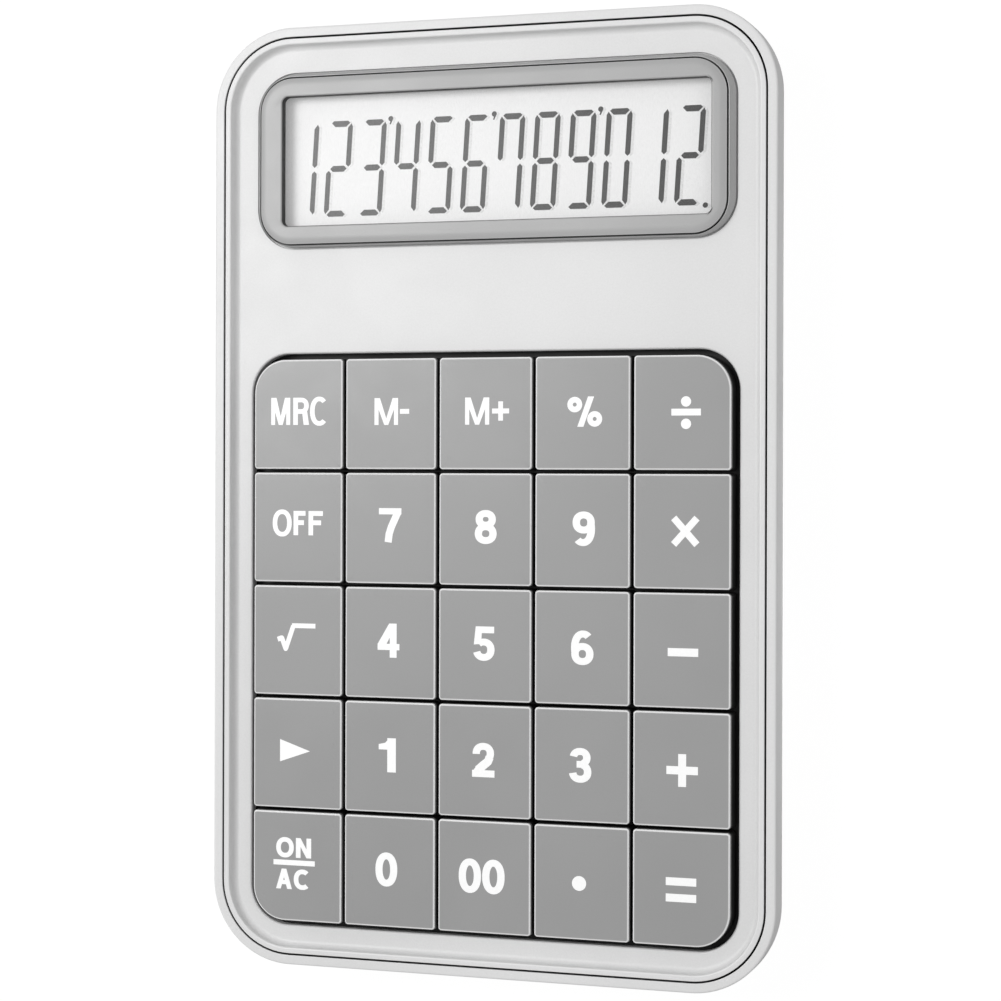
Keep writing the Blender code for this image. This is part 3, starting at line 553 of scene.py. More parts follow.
def speckled(name, colour, roughness, size, drift=0.08, depth=0.0, metallic=0.0, stretch=None):
    """General finish: colour and roughness that vary with one noise, and a bump from it."""
    shader = Shader(name)
    grain = shader.noise(size, 4.0, 0.6, stretch)
    shader.set(
        Base_Color=shader.grained(grain, tinted(colour, 1 - drift), tinted(colour, 1 + drift), 0.25, 0.75),
        Roughness=shader.spread(grain, roughness * 0.8, roughness * 1.2, 0.25, 0.75),
        Metallic=metallic,
    )
    if depth:
        shader.set(Normal=shader.bump(grain, 0.6, depth))
    return shader.material


def brushed_steel(name, colour, roughness):
    return speckled(name, colour, roughness, 0.12, 0.10, 0.004, 1.0, (1.0, 6.0, 6.0))


def printed_ink(name, colour):
    """Pad-printed ink: a matt film with faint screen texture, and a faint glow that is painted light."""
    shader = Shader(name)
    film = shader.noise(0.35, 3.0)
    shader.set(
        Base_Color=shader.grained(film, tinted(colour, 0.95), colour),
        Normal=shader.bump(film, 0.3, 0.004),
        Roughness=0.5,
    )
    shader.glow(0.12)
    return shader.material


def lcd_film(name, darkest, lightest, roughness, glow, stretch=None, depth=0.0):
    """Film in the display: fine grain, and a faint glow, painted light that brightens the film."""
    shader = Shader(name)
    grain = shader.noise(0.22, stretch=stretch)
    shader.set(Base_Color=shader.grained(grain, grey(darkest), grey(lightest)), Roughness=roughness)
    if depth:
        shader.set(Normal=shader.bump(grain, 0.25, depth))
    shader.glow(glow)
    return shader.material


def board_laminate(name):
    """Green laminate with copper tracks under the mask."""
    shader = Shader(name)
    bricks = {"Vector": shader.place, "Scale": 0.28, "Mortar Size": 0.012}
    tracks = shader.node("ShaderNodeTexBrick", bricks).outputs["Fac"]
    mask = shader.grained(shader.noise(0.9, 3.0), (0.02, 0.12, 0.045), (0.03, 0.17, 0.06), 0.0, 1.0)
    shader.set(
        Base_Color=shader.mix(tracks, mask, (0.06, 0.30, 0.11)),
        Normal=shader.bump(tracks, 0.4, 0.035),
        Roughness=0.38,
    )
    return shader.material


def ribbon_film(name):
    """Amber film with printed conductors that run along it."""
    shader = Shader(name)
    waves = shader.node("ShaderNodeTexWave", {"Vector": shader.place, "Scale": 0.5}, bands_direction="X")
    lines = shader.spread(waves.outputs["Fac"], 0.0, 1.0, 0.55, 0.62)
    shader.set(
        Base_Color=shader.mix(lines, (0.62, 0.30, 0.06), (0.10, 0.09, 0.08)),
        Normal=shader.bump(lines, 0.5, 0.02),
        Roughness=0.3,
    )
    return shader.material


CASE_PLASTIC = moulded_plastic("case_plastic", grey(0.74), 0.42)
BEZEL_PLASTIC = moulded_plastic("bezel_plastic", grey(0.40), 0.38, grain=0.2, depth=0.006, edge_wear_and_highlight=0.6)
# The key edges are lightened almost to white: a painted highlight.
KEY_PLASTIC = moulded_plastic("key_plastic", grey(0.325), 0.34, grain=0.2, depth=0.006, edge_wear_and_highlight=1.9)
BLACK_PLASTIC = moulded_plastic("black_plastic", grey(0.012), 0.55)
WINDOW = clear_sheet("window_acrylic", grey(0.985), 0.22, 0.2)
# The reflector film and the segment shadow glow faintly: painted light that brightens the display.
LCD_BACK = lcd_film("lcd_reflector_film", 0.73, 0.78, 0.55, 0.17, (1.0, 0.35, 1.0), 0.01)
LCD_DARK = lcd_film("lcd_segment", 0.02975, 0.04025, 0.4, 0.0)
LCD_SHADOW = lcd_film("lcd_segment_shadow", 0.527, 0.713, 0.4, 0.14)
WHITE_INK = printed_ink("white_ink", grey(0.93))
RUBBER = speckled("foot_rubber", grey(0.03), 0.75, 0.5, 0.15, 0.02)
SILICONE = speckled("silicone", grey(0.45), 0.55, 0.8, 0.06, 0.01)
BOARD = board_laminate("board_laminate")
RIBBON = ribbon_film("ribbon_film")
EPOXY = speckled("epoxy", grey(0.012), 0.22, 2.5, 0.2, 0.03)
CERAMIC = speckled("ceramic", (0.42, 0.28, 0.16), 0.4, 0.3, 0.12, 0.01)
STEEL = brushed_steel("steel", grey(0.58), 0.28)
NICKEL = brushed_steel("nickel", (0.70, 0.67, 0.62), 0.24)
RED_WIRE = speckled("red_wire", (0.52, 0.02, 0.015), 0.4, 0.6, 0.1)
BLACK_WIRE = speckled("black_wire", grey(0.015), 0.4, 0.6, 0.1)


# ---------------------------------------------------------------- shells


def body_outline(inset, z):
    """The calculator's outline moved inwards by inset."""
    return outline((BODY_HALF.x - inset, BODY_HALF.y - inset), BODY_CORNER - inset, z)


def quarter_curve(steps, inset, sweep, high_z, low_z):
    """Rings down a quarter ellipse that starts upright at high_z and ends level at low_z."""
    rings = []
    for step in range(1, steps + 1):
        angle = math.pi / 2 * step / steps
        drop = (high_z - low_z) * math.sin(angle)
        rings.append(body_outline(inset + sweep * (1 - math.cos(angle)), high_z - drop))
    return rings


def mouth(lip, steps):
    """How far a rounded mouth has widened, and how far it is from its end, from the inside out."""
    angles = [math.pi / 2 * step / steps for step in range(steps + 1)]
    return [(lip * (1 - math.cos(angle)), lip * (1 - math.sin(angle))) for angle in angles]


def flared(half, corner, centre, low_z, mouth_z, lip, past):
    """A cutter whose mouth at mouth_z widens by lip. past is 1 for a mouth that opens upwards, or -1."""
    rings = [outline(half, corner, low_z, centre)]
    for grow, left in mouth(lip, 6):
        z = mouth_z - past * (left - MOUTH_OVERSHOOT)
        rings.append(outline((half[0] + grow, half[1] + grow), corner + grow, z, centre))
    last = (half[0] + lip, half[1] + lip)
    rings.append(outline(last, corner + lip, mouth_z + past * THROUGH, centre))
    return loft(rings)


def flared_hole(place, radius, top_z, mouth_z, lip):
    """A round cutter from top_z down to a mouth at mouth_z with a rounded edge."""
    profile = [(0, top_z), (radius, top_z)]
    profile += [(radius + grow, mouth_z + left - MOUTH_OVERSHOOT) for grow, left in mouth(lip, 5)]
    profile += [(radius + lip, mouth_z - THROUGH), (0, mouth_z - THROUGH)]
    return lathe(profile, 64, place)


def rear_case():
    """Tray with a thin rim and a swept back, its bosses, and its openings underneath."""
    inside = [body_outline(LEDGE_INSET, LEDGE_Z)]
    inside += quarter_curve(12, LEDGE_INSET, FLOOR_SWEEP, LEDGE_Z, FLOOR_Z)
    rim = [
        (RIM_WIDTH, LEDGE_Z, 0),
        (RIM_WIDTH, RIM_Z - SEAM_SHADE_DEPTH, 0),
        (RIM_WIDTH, RIM_Z, SEAM_ROUNDING),
        (0, RIM_Z, RIM_ROUNDING),
        (0, RIM_Z - SIDE_HEIGHT, 0),
    ]
    rings = inside[::-1] + [body_outline(p.x, p.y) for p in rounded(rim, steps=8)]
    rings += quarter_curve(24, 0, BACK_SWEEP, RIM_Z - SIDE_HEIGHT, BACK_Z)
    # The rim's inner wall, down into the seam, is darkened as painted shade; its rounded edges are lightened
    # as rubbing and painted highlight.
    wear_and_painted_light = [0.0] * len(inside) + arc_wear_and_light(rim, 8, shaded=(0, 1))
    obj = new_piece("rear_case_shell", loft(rings, wear_and_painted_light=wear_and_painted_light), CASE_PLASTIC, CASE, "rear_case")
    root_z = FLOOR_Z - THROUGH
    boss_z = {"top": TOP_BOSS_Z, "bottom": mm_box("circuit_board")[0].z - BOTTOM_BOSS_GAP}
    bosses, bores, pilots = [], [], []
    for end in ("top", "bottom"):
        for place in pair("case_screw_" + end):
            bosses.append(tube(place, CASE_BOSS_RADIUS, root_z, boss_z[end]))
            bores.append(flared_hole(place, HEAD_BORE_RADIUS, HEAD_BORE_Z[end], BACK_Z, 0.25))
            pilots.append(tube(place, SHANK_BORE_RADIUS, *SHANK_BORE_Z))
    cell_half, cell = half_and_middle("coin_cell")
    around_cell = (cell.x, cell.y + CELL_BLOCK_SHIFT)
    cell_block = [outline(CELL_BLOCK_HALF, CELL_BLOCK_CORNER, z, around_cell) for z in (root_z, CELL_BLOCK_Z)]
    carve(obj, join(*bosses, loft(cell_block)), "UNION")
    foot_seat = half_and_middle("rubber_foot_front_left")[0].x + FOOT_GAP
    for place in pair("rubber_foot_front") + pair("rubber_foot_back"):
        bores.append(flared_hole(place, foot_seat, FOOT_SEAT_Z, BACK_Z, 0.12))
    door_recess = [size + DOOR_GAP for size in DOOR_HALF]
    bores.append(flared(door_recess, DOOR_CORNER + 0.2, DOOR_PLACE, DOOR_SEAT_Z, BACK_Z, 0.15, -1))
    carve(obj, join(*bores))
    carve(obj, tube(cell, cell_half.x + CELL_GAP, *CELL_POCKET_Z, 96))
    tongue_slots = both_sides((3.7, 8.3), (56.0, 62.1), (1.55, 4.4))
    latch_slot = block((-3.3, 3.3), (33.1, 38.0), (1.45, 2.8))
    spring_slot = block((-2.8, 2.8), (38.2, 39.0), (4.0, 8.2))
    clip_slot = block((9.5, 10.9), (44.2, 49.8), (2.4, 8.2))
    carve(obj, join(*pilots, *tongue_slots, latch_slot, spring_slot, clip_slot))


def front_cover(field):
    """Dished panel with a skirt, its screw bosses, and its openings for the keys and the display."""
    underside = PANEL_Z - PANEL_THICKNESS
    inner = COVER_INSET + COVER_WALL
    wall = COVER_INSET + LAND_WIDTH
    path = [
        (wall + DISH_DRAFT + 2.0, PANEL_Z, 0),
        (wall + DISH_DRAFT, PANEL_Z, DISH_FILLET),
        (wall, RIM_Z, LAND_ROUNDING),
        (COVER_INSET, RIM_Z, SEAM_ROUNDING),
        (COVER_INSET, RIM_Z - SEAM_SHADE_DEPTH, 0),
        (COVER_INSET, SKIRT_Z, 0.1),
        (inner, SKIRT_Z, 0.1),
        (inner, underside - 0.5, 0.3),
        (inner + 0.9, underside, 0),
    ]
    rings = [body_outline(p.x, p.y) for p in rounded(path, steps=8)]
    # The skirt's outer wall, down into the seam, is darkened as painted shade; the land and seam edges are
    # lightened as rubbing and painted highlight, and the dish fillet stays clean.
    wear_and_painted_light = arc_wear_and_light(path, 8, shaded=(4, 5), clean=(1,))
    obj = new_piece("front_cover_shell", loft(rings, wear_and_painted_light=wear_and_painted_light), CASE_PLASTIC, CASE, "front_cover")
    bosses, pilots = [], []
    for stem, boss, pilot in (
        ("case_screw_top", CASE_SCREW_BOSS, CASE_PILOT),
        ("guide_plate_screw", PLATE_SCREW_BOSS, SMALL_PILOT),
        ("retainer_screw", RETAINER_SCREW_BOSS, SMALL_PILOT),
    ):
        bosses += [tube(place, *boss, underside + BOSS_BITE) for place in pair(stem)]
        pilots += [tube(place, *pilot, PILOT_SEGMENTS) for place in pair(stem)]
    ribs = both_sides((14.0, 22.0), (-69.6, -67.8), (SKIRT_Z, RIB_Z))
    carve(obj, join(*bosses, *ribs), "UNION")
    well_half, well_middle = field
    well = [size + KEY_WELL_GAP for size in well_half]
    through_z = PANEL_Z - 2 * PANEL_THICKNESS
    carve(obj, flared(well, KEY_WELL_CORNER, well_middle, through_z, PANEL_Z, WELL_LIP, 1))
    opening = [size + BEZEL_GAP for size in COLLAR_HALF]
    middle = place_of("display_bezel")
    carve(obj, flared(opening, COLLAR_CORNER + BEZEL_GAP, middle, through_z, PANEL_Z, 0.1, 1))
    foot_half, foot = bezel_foot()
    seat = [size + BEZEL_GAP for size in foot_half]
    seat_z = PANEL_Z - BEZEL_SEAT - 0.1
    carve(obj, flared(seat, BEZEL_CORNER + BEZEL_GAP, foot, seat_z, PANEL_Z, 0.08, 1))
    carve(obj, join(*pilots))


def key_field():
    """Half size and middle of the block of 25 key tops."""
    boxes = [mm_box(node) for node in LEGENDS]
    low = Vector((min(low.x for low, _ in boxes), min(low.y for low, _ in boxes)))
    high = Vector((max(high.x for _, high in boxes), max(high.y for _, high in boxes)))
    half = (high - low) / 2
    return (half.x - KEY_DRAFT, half.y - KEY_DRAFT), (high + low) / 2


# ---------------------------------------------------------------- display


def bezel_foot():
    """Half size and middle of the bezel's outline where it meets the panel."""
    half, middle = half_and_middle("display_bezel")
    return half.xy - BEZEL_FOOT_INSET, middle.xy + BEZEL_FOOT_SHIFT


def display_bezel():
    """Frame with sloping sides, sunk a little into the panel, and a fine groove round its face."""
    middle = place_of("display_bezel")
    low, high = mm_box("display_bezel")
    foot_half, foot = bezel_foot()
    seat = PANEL_Z - BEZEL_SEAT

    def window_ring(grow, z):
        size = (WINDOW_HALF[0] + grow, WINDOW_HALF[1] + grow)
        return outline(size, WINDOW_CORNER + grow, z, middle + WINDOW_OFFSET)

    def bezel_ring(inset, z):
        share = min(inset / BEZEL_DRAFT[0], 1)
        steeper = BEZEL_DRAFT[0] - BEZEL_DRAFT[1]
        size = (foot_half.x - inset, foot_half.y - inset + steeper * share)
        return outline(size, BEZEL_CORNER - inset, z, foot - BEZEL_LEAN * share)

    lip = [window_ring(grow, high.z - left) for grow, left in mouth(WINDOW_LIP, 4)]
    top = BEZEL_DRAFT[0]
    groove = top + TRIM_GROOVE
    crown = groove + BEZEL_CROWN[0]
    edge_z = high.z - BEZEL_CROWN[1]
    side = [
        (crown + 0.9, high.z, 0),
        (crown, high.z, 3.0),
        (groove, edge_z, 0.1),
        (groove, high.z - TRIM_DEPTH, 0),
        (top, high.z - TRIM_DEPTH, 0),
        (top, edge_z - 0.04, 0.06),
        (0, PANEL_Z + 0.15, 0.2),
        (0, seat, 0),
    ]
    # The trim groove darkens towards its floor as painted shade; the groove's edge and the face's edge are
    # lightened as rubbing and painted highlight.
    wear_and_painted_light = [0.0] * len(lip) + arc_wear_and_light(side, 4, shaded=(3, 4), clean=(1, 6))
    sections = lip + [bezel_ring(p.x, p.y) for p in rounded(side)]
    sections += [outline(COLLAR_HALF, COLLAR_CORNER, z, middle) for z in (seat, low.z)]
    sections += [outline(REBATE_HALF, REBATE_CORNER, z, middle) for z in (low.z, REBATE_Z)]
    sections.append(window_ring(0, REBATE_Z))
    new_piece("display_bezel_frame", loft(sections, True, wear_and_painted_light), BEZEL_PLASTIC, CASE, "display_bezel")
    # A black sheet lines the window's inner walls as painted shade, darkening them.
    foot_z = REBATE_Z + 0.01
    shade_liner = ((0.02, foot_z), (0.02, high.z - 0.22), (-0.06, high.z - 0.26), (-0.06, foot_z))
    rings = [window_ring(grow, z) for grow, z in shade_liner]
    new_piece("display_window_shade_liner", loft(rings, closed=True), BLACK_PLASTIC, CASE)


def display_window():
    half, middle = half_and_middle("display_lens")
    levels = [corner.z for corner in mm_box("display_lens")]
    sheet = rounded_sheet(half, middle, LENS_CORNER, levels, (0.12, 0.12), 3)
    new_piece("display_window", sheet, WINDOW, CASE, "display_lens")


def lcd_cell():
    """Two bonded sheets: a pearly front one, and a rear one that runs on as the ribbon's ledge."""
    low, high = mm_box("lcd_glass")
    half, middle = half_and_middle("lcd_glass")
    step_z = low.z + LCD_REAR_SHEET
    front_middle = (middle.x, middle.y + LCD_LEDGE / 2)
    front_half = (half.x, half.y - LCD_LEDGE / 2)
    rings = [outline(half, LCD_CORNER, z, middle) for z in (low.z, low.z + 0.05, step_z)]
    for inset, z in ((0, step_z), (0, high.z - LCD_BEVEL), (LCD_BEVEL, high.z)):
        size = (front_half[0] - inset, front_half[1] - inset)
        rings.append(outline(size, LCD_CORNER, z, front_middle))
    new_piece("lcd_glass_cell", loft(rings), LCD_BACK, CASE, "lcd_glass")


# Dark segments of each digit from 0 to 9, lettered clockwise from the top bar, with g in the middle.
SEGMENTS = "abcdef bc abged abgcd fgbc afgcd afgedc fabc abcdefg abcdfg".split()
LCD_READING = (1, 2, 3, 4, 5, 6, 7, 8, 9, 0, 1, 2)
LCD_PITCH = 5.585
LCD_FIRST_X = -30.5
LCD_MIDDLE_Y = 50.67
LCD_DIGIT_HALF = (1.60, 6.93)
LCD_UPRIGHT_HALF = 0.40
LCD_LEVEL_HALF = 0.46
LCD_LEVEL_REACH = 1.52
LCD_MIDDLE_REACH = 1.36
LCD_GAP = 0.27
LCD_SLANT = 0.062
LCD_TICK = (2.60, 7.41)
LCD_POINT = (2.80, -7.43)
LCD_MARK_RADIUS = 0.40
LCD_GROUPS = (3, 6, 9)
LCD_LEDGE = 3.2
LCD_REAR_SHEET = 0.8
LCD_CORNER = 0.3
LCD_BEVEL = 0.06
LCD_FILM = 0.015
LCD_SHADOW_SHIFT = (0.45, -0.1)


def upright_segment(side, top):
    """Outline of an upright segment: pointed towards the middle line, mitred at its far end."""
    w, h = LCD_DIGIT_HALF
    t = LCD_UPRIGHT_HALF
    near, far = LCD_GAP, h + 0.03
    points = [(0, near), (t, near + t), (t, far - 0.5), (t * 0.35, far), (-t, far - 0.68), (-t, near + t)]
    return [Vector((side * (w + u), top * v)) for u, v in points]


def level_segment(top):
    """Outline of the top or bottom segment, mitred at both ends."""
    h, t = LCD_DIGIT_HALF[1], LCD_LEVEL_HALF
    r = LCD_LEVEL_REACH
    points = [(-r, t * 0.3), (-r + 0.35, t), (r - 0.35, t), (r, t * 0.3), (r - 0.62, -t), (-r + 0.62, -t)]
    return [Vector((u, top * (h + v))) for u, v in points]


def lcd_digit(number):
    """Outlines of a digit's dark segments, about its own middle."""
    r, t = LCD_MIDDLE_REACH, LCD_LEVEL_HALF
    middle = [(-r, 0), (-r + t, -t), (r - t, -t), (r, 0), (r - t, t), (-r + t, t)]
    shapes = {
        "a": level_segment(1),
        "b": upright_segment(1, 1),
        "c": upright_segment(1, -1),
        "d": level_segment(-1),
        "e": upright_segment(-1, -1),
        "f": upright_segment(-1, 1),
        "g": shape(*middle),
    }
    return [shapes[letter] for letter in SEGMENTS[number]]


def lcd_marks():
    """Outlines of the whole reading, with a tick after each group and the decimal point."""
    marks = []
    x, y = LCD_TICK
    r = LCD_MARK_RADIUS
    tail = shape((x + r, y), (x + 0.05, y - 0.9), (x - 0.15, y - 0.85), (x, y - 0.25))
    for place, number in enumerate(LCD_READING, 1):
        digit = lcd_digit(number)
        if place in LCD_GROUPS:
            digit += [disc(x, y, r), tail]
        if place == len(LCD_READING):
            digit.append(disc(*LCD_POINT, r))
        middle = Vector((LCD_FIRST_X + LCD_PITCH * (place - 1), LCD_MIDDLE_Y))
        for face in digit:
            marks.append([middle + p + Vector((p.y * LCD_SLANT, 0)) for p in face])
    return marks


def lcd_segments():
    """The dark segments, and under them the faint shadow that they throw on the reflector."""
    marks = lcd_marks()
    z = mm_box("lcd_glass")[1].z
    shadows = moved(marks, *LCD_SHADOW_SHIFT)
    new_piece("lcd_segment_shadows", plate(shadows, z, z + LCD_FILM), LCD_SHADOW, CASE)
    new_piece("lcd_segments", plate(marks, z + LCD_FILM, z + 2 * LCD_FILM), LCD_DARK, CASE)


# ---------------------------------------------------------------- lettering


def plate(faces, low, high):
    """A bmesh of overlapping flat outlines merged into one plate between two heights."""
    points, loops = [], []
    for face in faces:
        area = sum(a.x * b.y - b.x * a.y for a, b in zip(face, face[1:] + face[:1]))
        loops.append(list(range(len(points), len(points) + len(face))))
        points += face if area > 0 else face[::-1]
    places, _, triangles, _, _, sources = delaunay_2d_cdt(points, [], loops, 1, 1e-5)
    triangles = [triangle for triangle, source in zip(triangles, sources) if source]
    bm = bmesh.new()
    top = [bm.verts.new((p.x, p.y, high)) for p in places]
    bottom = [bm.verts.new((p.x, p.y, low)) for p in places]
    edges = set()
    for triangle in triangles:
        bm.faces.new([top[i] for i in triangle])
        bm.faces.new([bottom[i] for i in reversed(triangle)])
        edges |= {(a, b) for a, b in zip(triangle, triangle[1:] + triangle[:1])}
    for a, b in edges:
        if (b, a) not in edges:
            bm.faces.new((top[a], bottom[a], bottom[b], top[b]))
    loose = [v for v in bm.verts if not v.link_faces]
    bmesh.ops.delete(bm, geom=loose, context="VERTS")
    return bm


def nib_offset(along, nib):
    """Half thickness of a stroke of an oval nib, square to its direction. nib is (across X, across Y)."""
    normal = Vector((-along.y, along.x))
    length = math.hypot(nib[0] * normal.x, nib[1] * normal.y)
    return Vector((nib[0] ** 2 * normal.x, nib[1] ** 2 * normal.y)) / length


def stroke(path, nib, closed=False):
    """Outlines that cover a path drawn with a nib, square at its ends."""
    path = [Vector(p) for p in path]
    count = len(path)
    sides = []
    for i, point in enumerate(path):
        before = path[i - 1] if closed or i else point
        after = path[(i + 1) % count] if closed or i < count - 1 else point
        offset = nib_offset((after - before).normalized(), nib)
        sides.append((point + offset, point - offset))
    pairs = list(zip(sides, sides[1:]))
    if closed:
        pairs.append((sides[-1], sides[0]))
    return [[a, c, d, b] for (a, b), (c, d) in pairs]


def bow(x, y, half_x, half_y, start, end, steps=24, power=2.2):
    """Points on a rounded arc between two angles in degrees."""
    points = []
    for step in range(steps + 1):
        angle = math.radians(start + (end - start) * step / steps)
        c, s = math.cos(angle), math.sin(angle)
        points.append(
            (
                x + half_x * math.copysign(abs(c) ** (2 / power), c),
                y + half_y * math.copysign(abs(s) ** (2 / power), s),
            )
        )
    return points


def shape(*points):
    return [Vector(p) for p in points]


def bar(x0, y0, x1, y1):
    return shape((x0, y0), (x1, y0), (x1, y1), (x0, y1))


def moved(faces, x, y):
    return [[p + Vector((x, y)) for p in face] for face in faces]


DIGIT_NIB = (0.58, 0.52)
DIGIT_HALF = (1.78, 2.6)
LETTER_STEM = 0.78


def digit_0():
    rx, ry = DIGIT_HALF[0] - DIGIT_NIB[0], DIGIT_HALF[1] - DIGIT_NIB[1]
    return stroke(bow(0, 0, rx, ry, 0, 352.5, 47), DIGIT_NIB, True)


def digit_1():
    w, h = 1.4, DIGIT_HALF[1]
    flag = shape(
        (0.05, h), (0.0, h - 0.35), (-0.35, h - 0.72), (-1.4, h - 0.95), (-1.4, h - 1.75), (0.1, h - 1.75)
    )
    return [bar(0, -h, w, h), flag]


def digit_2():
    w, h = DIGIT_HALF
    top = bow(0, h - 1.62, w - 0.66, 1.06, 185, -28)
    tail = [top[-1], (0.75, -0.2), (-0.1, -0.9), (-0.85, -1.55)]
    corner = shape((-w, -h), (-0.4, -h), (-0.2, -h + 1.1), (-1.0, -h + 1.75), (-w + 0.1, -h + 0.9))
    return stroke(top, DIGIT_NIB) + stroke(tail, (0.66, 0.66)) + [bar(-w, -h, w, -h + 1.05), corner]


def digit_3():
    w, h = DIGIT_HALF
    top = bow(-0.05, h - 1.45, w - 0.75, 0.92, 172, -70)
    low = bow(-0.05, -h + 1.62, w - 0.62, 1.08, 75, -172)
    return stroke(top, DIGIT_NIB) + stroke(low, DIGIT_NIB) + [bar(-0.6, -0.35, 0.5, 0.65)]


def digit_4():
    w, h = DIGIT_HALF
    return [
        bar(0.2, -h, 1.32, h),
        bar(-w, -1.45, w, -0.5),
        shape((-w, -0.55), (-w, -0.95), (-0.55, -0.95), (0.6, 1.2), (0.6, h), (0.1, h)),
    ]


def digit_5():
    w, h = DIGIT_HALF
    bowl = bow(-0.02, -h + 1.7, w - 0.64, 1.16, 132, -165)
    spine = shape((-1.3, h), (-1.6, -0.15), (-0.45, -0.05), (-0.25, h))
    return stroke(bowl, DIGIT_NIB) + [bar(-1.2, h - 1.0, w - 0.15, h), spine]


def digit_6():
    w, h = DIGIT_HALF
    ring = bow(0.02, -h + 1.66, w - 0.64, 1.12, 0, 350, 35)
    spine = bow(0.12, 0.0, w - 0.5, h - 0.56, 52, 200)
    return stroke(ring, DIGIT_NIB, True) + stroke(spine, DIGIT_NIB)


def digit_7():
    w, h = DIGIT_HALF[0] + 0.05, DIGIT_HALF[1]
    leg = [(w - 0.62, h - 0.7), (0.72, 0.85), (0.2, -0.25), (-0.15, -1.3), (-0.32, -h)]
    corner = shape((w, h), (w, h - 0.85), (w - 0.45, h - 1.5), (w - 1.3, h - 0.95))
    return stroke(leg, (0.58, 0.56)) + [bar(-w, h - 0.95, w, h), corner]


def digit_8():
    w, h = DIGIT_HALF
    top = bow(0, h - 1.44, w - 0.75, 0.88, 0, 350, 35)
    low = bow(0, -h + 1.6, w - 0.62, 1.04, 0, 350, 35)
    return stroke(top, DIGIT_NIB, True) + stroke(low, DIGIT_NIB, True)


def digit_9():
    return [[-p for p in face] for face in digit_6()]


def digit_00():
    return moved(digit_0(), -1.87, 0) + moved(digit_0(), 1.87, 0)


def letter(name, width, height):
    """One of the capital letters M, R, C, O, F, N and A, centred on the origin."""
    w, h, t = width / 2, height / 2, LETTER_STEM
    nib = (t / 2, t / 2 * 0.92)
    upright = bar(-w, -h, -w + t, h)
    if name == "M":
        stem_width, valley = t * 0.86, t * 0.42
        return [
            bar(-w, -h, -w + stem_width, h),
            bar(w - stem_width, -h, w, h),
            shape((-w, h), (-w + t * 1.15, h), (valley, -h), (-valley, -h)),
            shape((w, h), (w - t * 1.15, h), (-valley, -h), (valley, -h)),
        ]
    if name == "R":
        ry = (h * 1.1 - t) / 2 + 0.12
        top = h - ry - nib[1]
        bowl = [(-w + t, h - nib[1])] + bow(w - t / 2 - ry * 0.95, top, ry * 0.95, ry, 90, -90, 14)
        bowl.append((-w + t, top - ry))
        leg = shape((w - t * 1.45, top - ry), (w - t * 0.35, top - ry), (w + 0.05, -h), (w - t - 0.08, -h))
        return stroke(bowl, nib) + [upright, leg]
    if name == "C":
        return stroke(bow(0, 0, w - nib[0], h - nib[1], 48, 312, 30), nib)
    if name == "O":
        return stroke(bow(0, 0, w - nib[0], h - nib[1], 0, 352.5, 47), nib, True)
    if name == "F":
        arm = t * 0.95
        return [upright, bar(-w, h - arm, w, h), bar(-w, -0.3, w * 0.75, -0.3 + arm)]
    if name == "N":
        return [upright, bar(w - t, -h, w, h), shape((-w, h), (-w + t, h), (w, -h), (w - t, -h))]
    left = shape((-w, -h), (-w + t, -h), (t * 0.5, h), (-t * 0.5, h))
    right = shape((w, -h), (w - t, -h), (-t * 0.5, h), (t * 0.5, h))
    return [left, right, bar(-w * 0.6, -h * 0.55, w * 0.6, -h * 0.55 + t * 0.85)]


def word(*letters):
    """Letters as (name, middle x, middle y, width, height)."""
    faces = []
    for name, x, y, width, height in letters:
        faces += moved(letter(name, width, height), x, y)
    return faces


def percent():
    faces = [shape((-0.78, -2.05), (0.17, -2.05), (1.82, 2.45), (0.87, 2.45))]
    for x, y in ((-1.18, 1.25), (1.91, -0.89)):
        faces += stroke(bow(x, y, 0.73, 0.73, 0, 345, 23, 2.0), (0.43, 0.43), True)
    return faces


def multiply():
    faces = []
    for side in (-1, 1):
        rise = Vector((side * 1.75, 1.95))
        faces += moved(stroke([-rise, rise], (0.52, 0.52)), 0.52, 0.05)
    return faces


def square_root():
    path = [(-3.32, 0.1), (-2.62, 0.35), (-1.97, -1.34), (-0.69, 2.26)]
    faces = []
    for a, b in zip(path, path[1:]):
        faces += stroke([a, b], (0.38, 0.38))
    faces += [disc(x, y, 0.36, 16) for x, y in path[1:3]]
    return faces + [bar(-0.92, 1.9, 2.98, 2.63)]


MRC = (("M", -2.92, 0.46, 3.2, 4.2), ("R", 0.48, 0.46, 2.6, 4.2), ("C", 3.53, 0.46, 3.1, 4.5))
OFF = (("O", -2.62, 0.65, 3.2, 4.2), ("F", 0.28, 0.66, 2.0, 3.75), ("F", 2.98, 0.66, 2.4, 3.75))
ON = (("O", -2.0, 2.87, 2.95, 3.15), ("N", 1.1, 2.87, 2.55, 3.05))
AC = (("A", -2.15, -2.0, 2.65, 3.1), ("C", 0.93, -2.0, 2.9, 3.15))
M_MINUS = [bar(1.55, 0.0, 3.05, 0.74)]
M_PLUS = [bar(1.1, -0.02, 3.8, 0.73), bar(2.08, -1.1, 2.83, 1.8)]

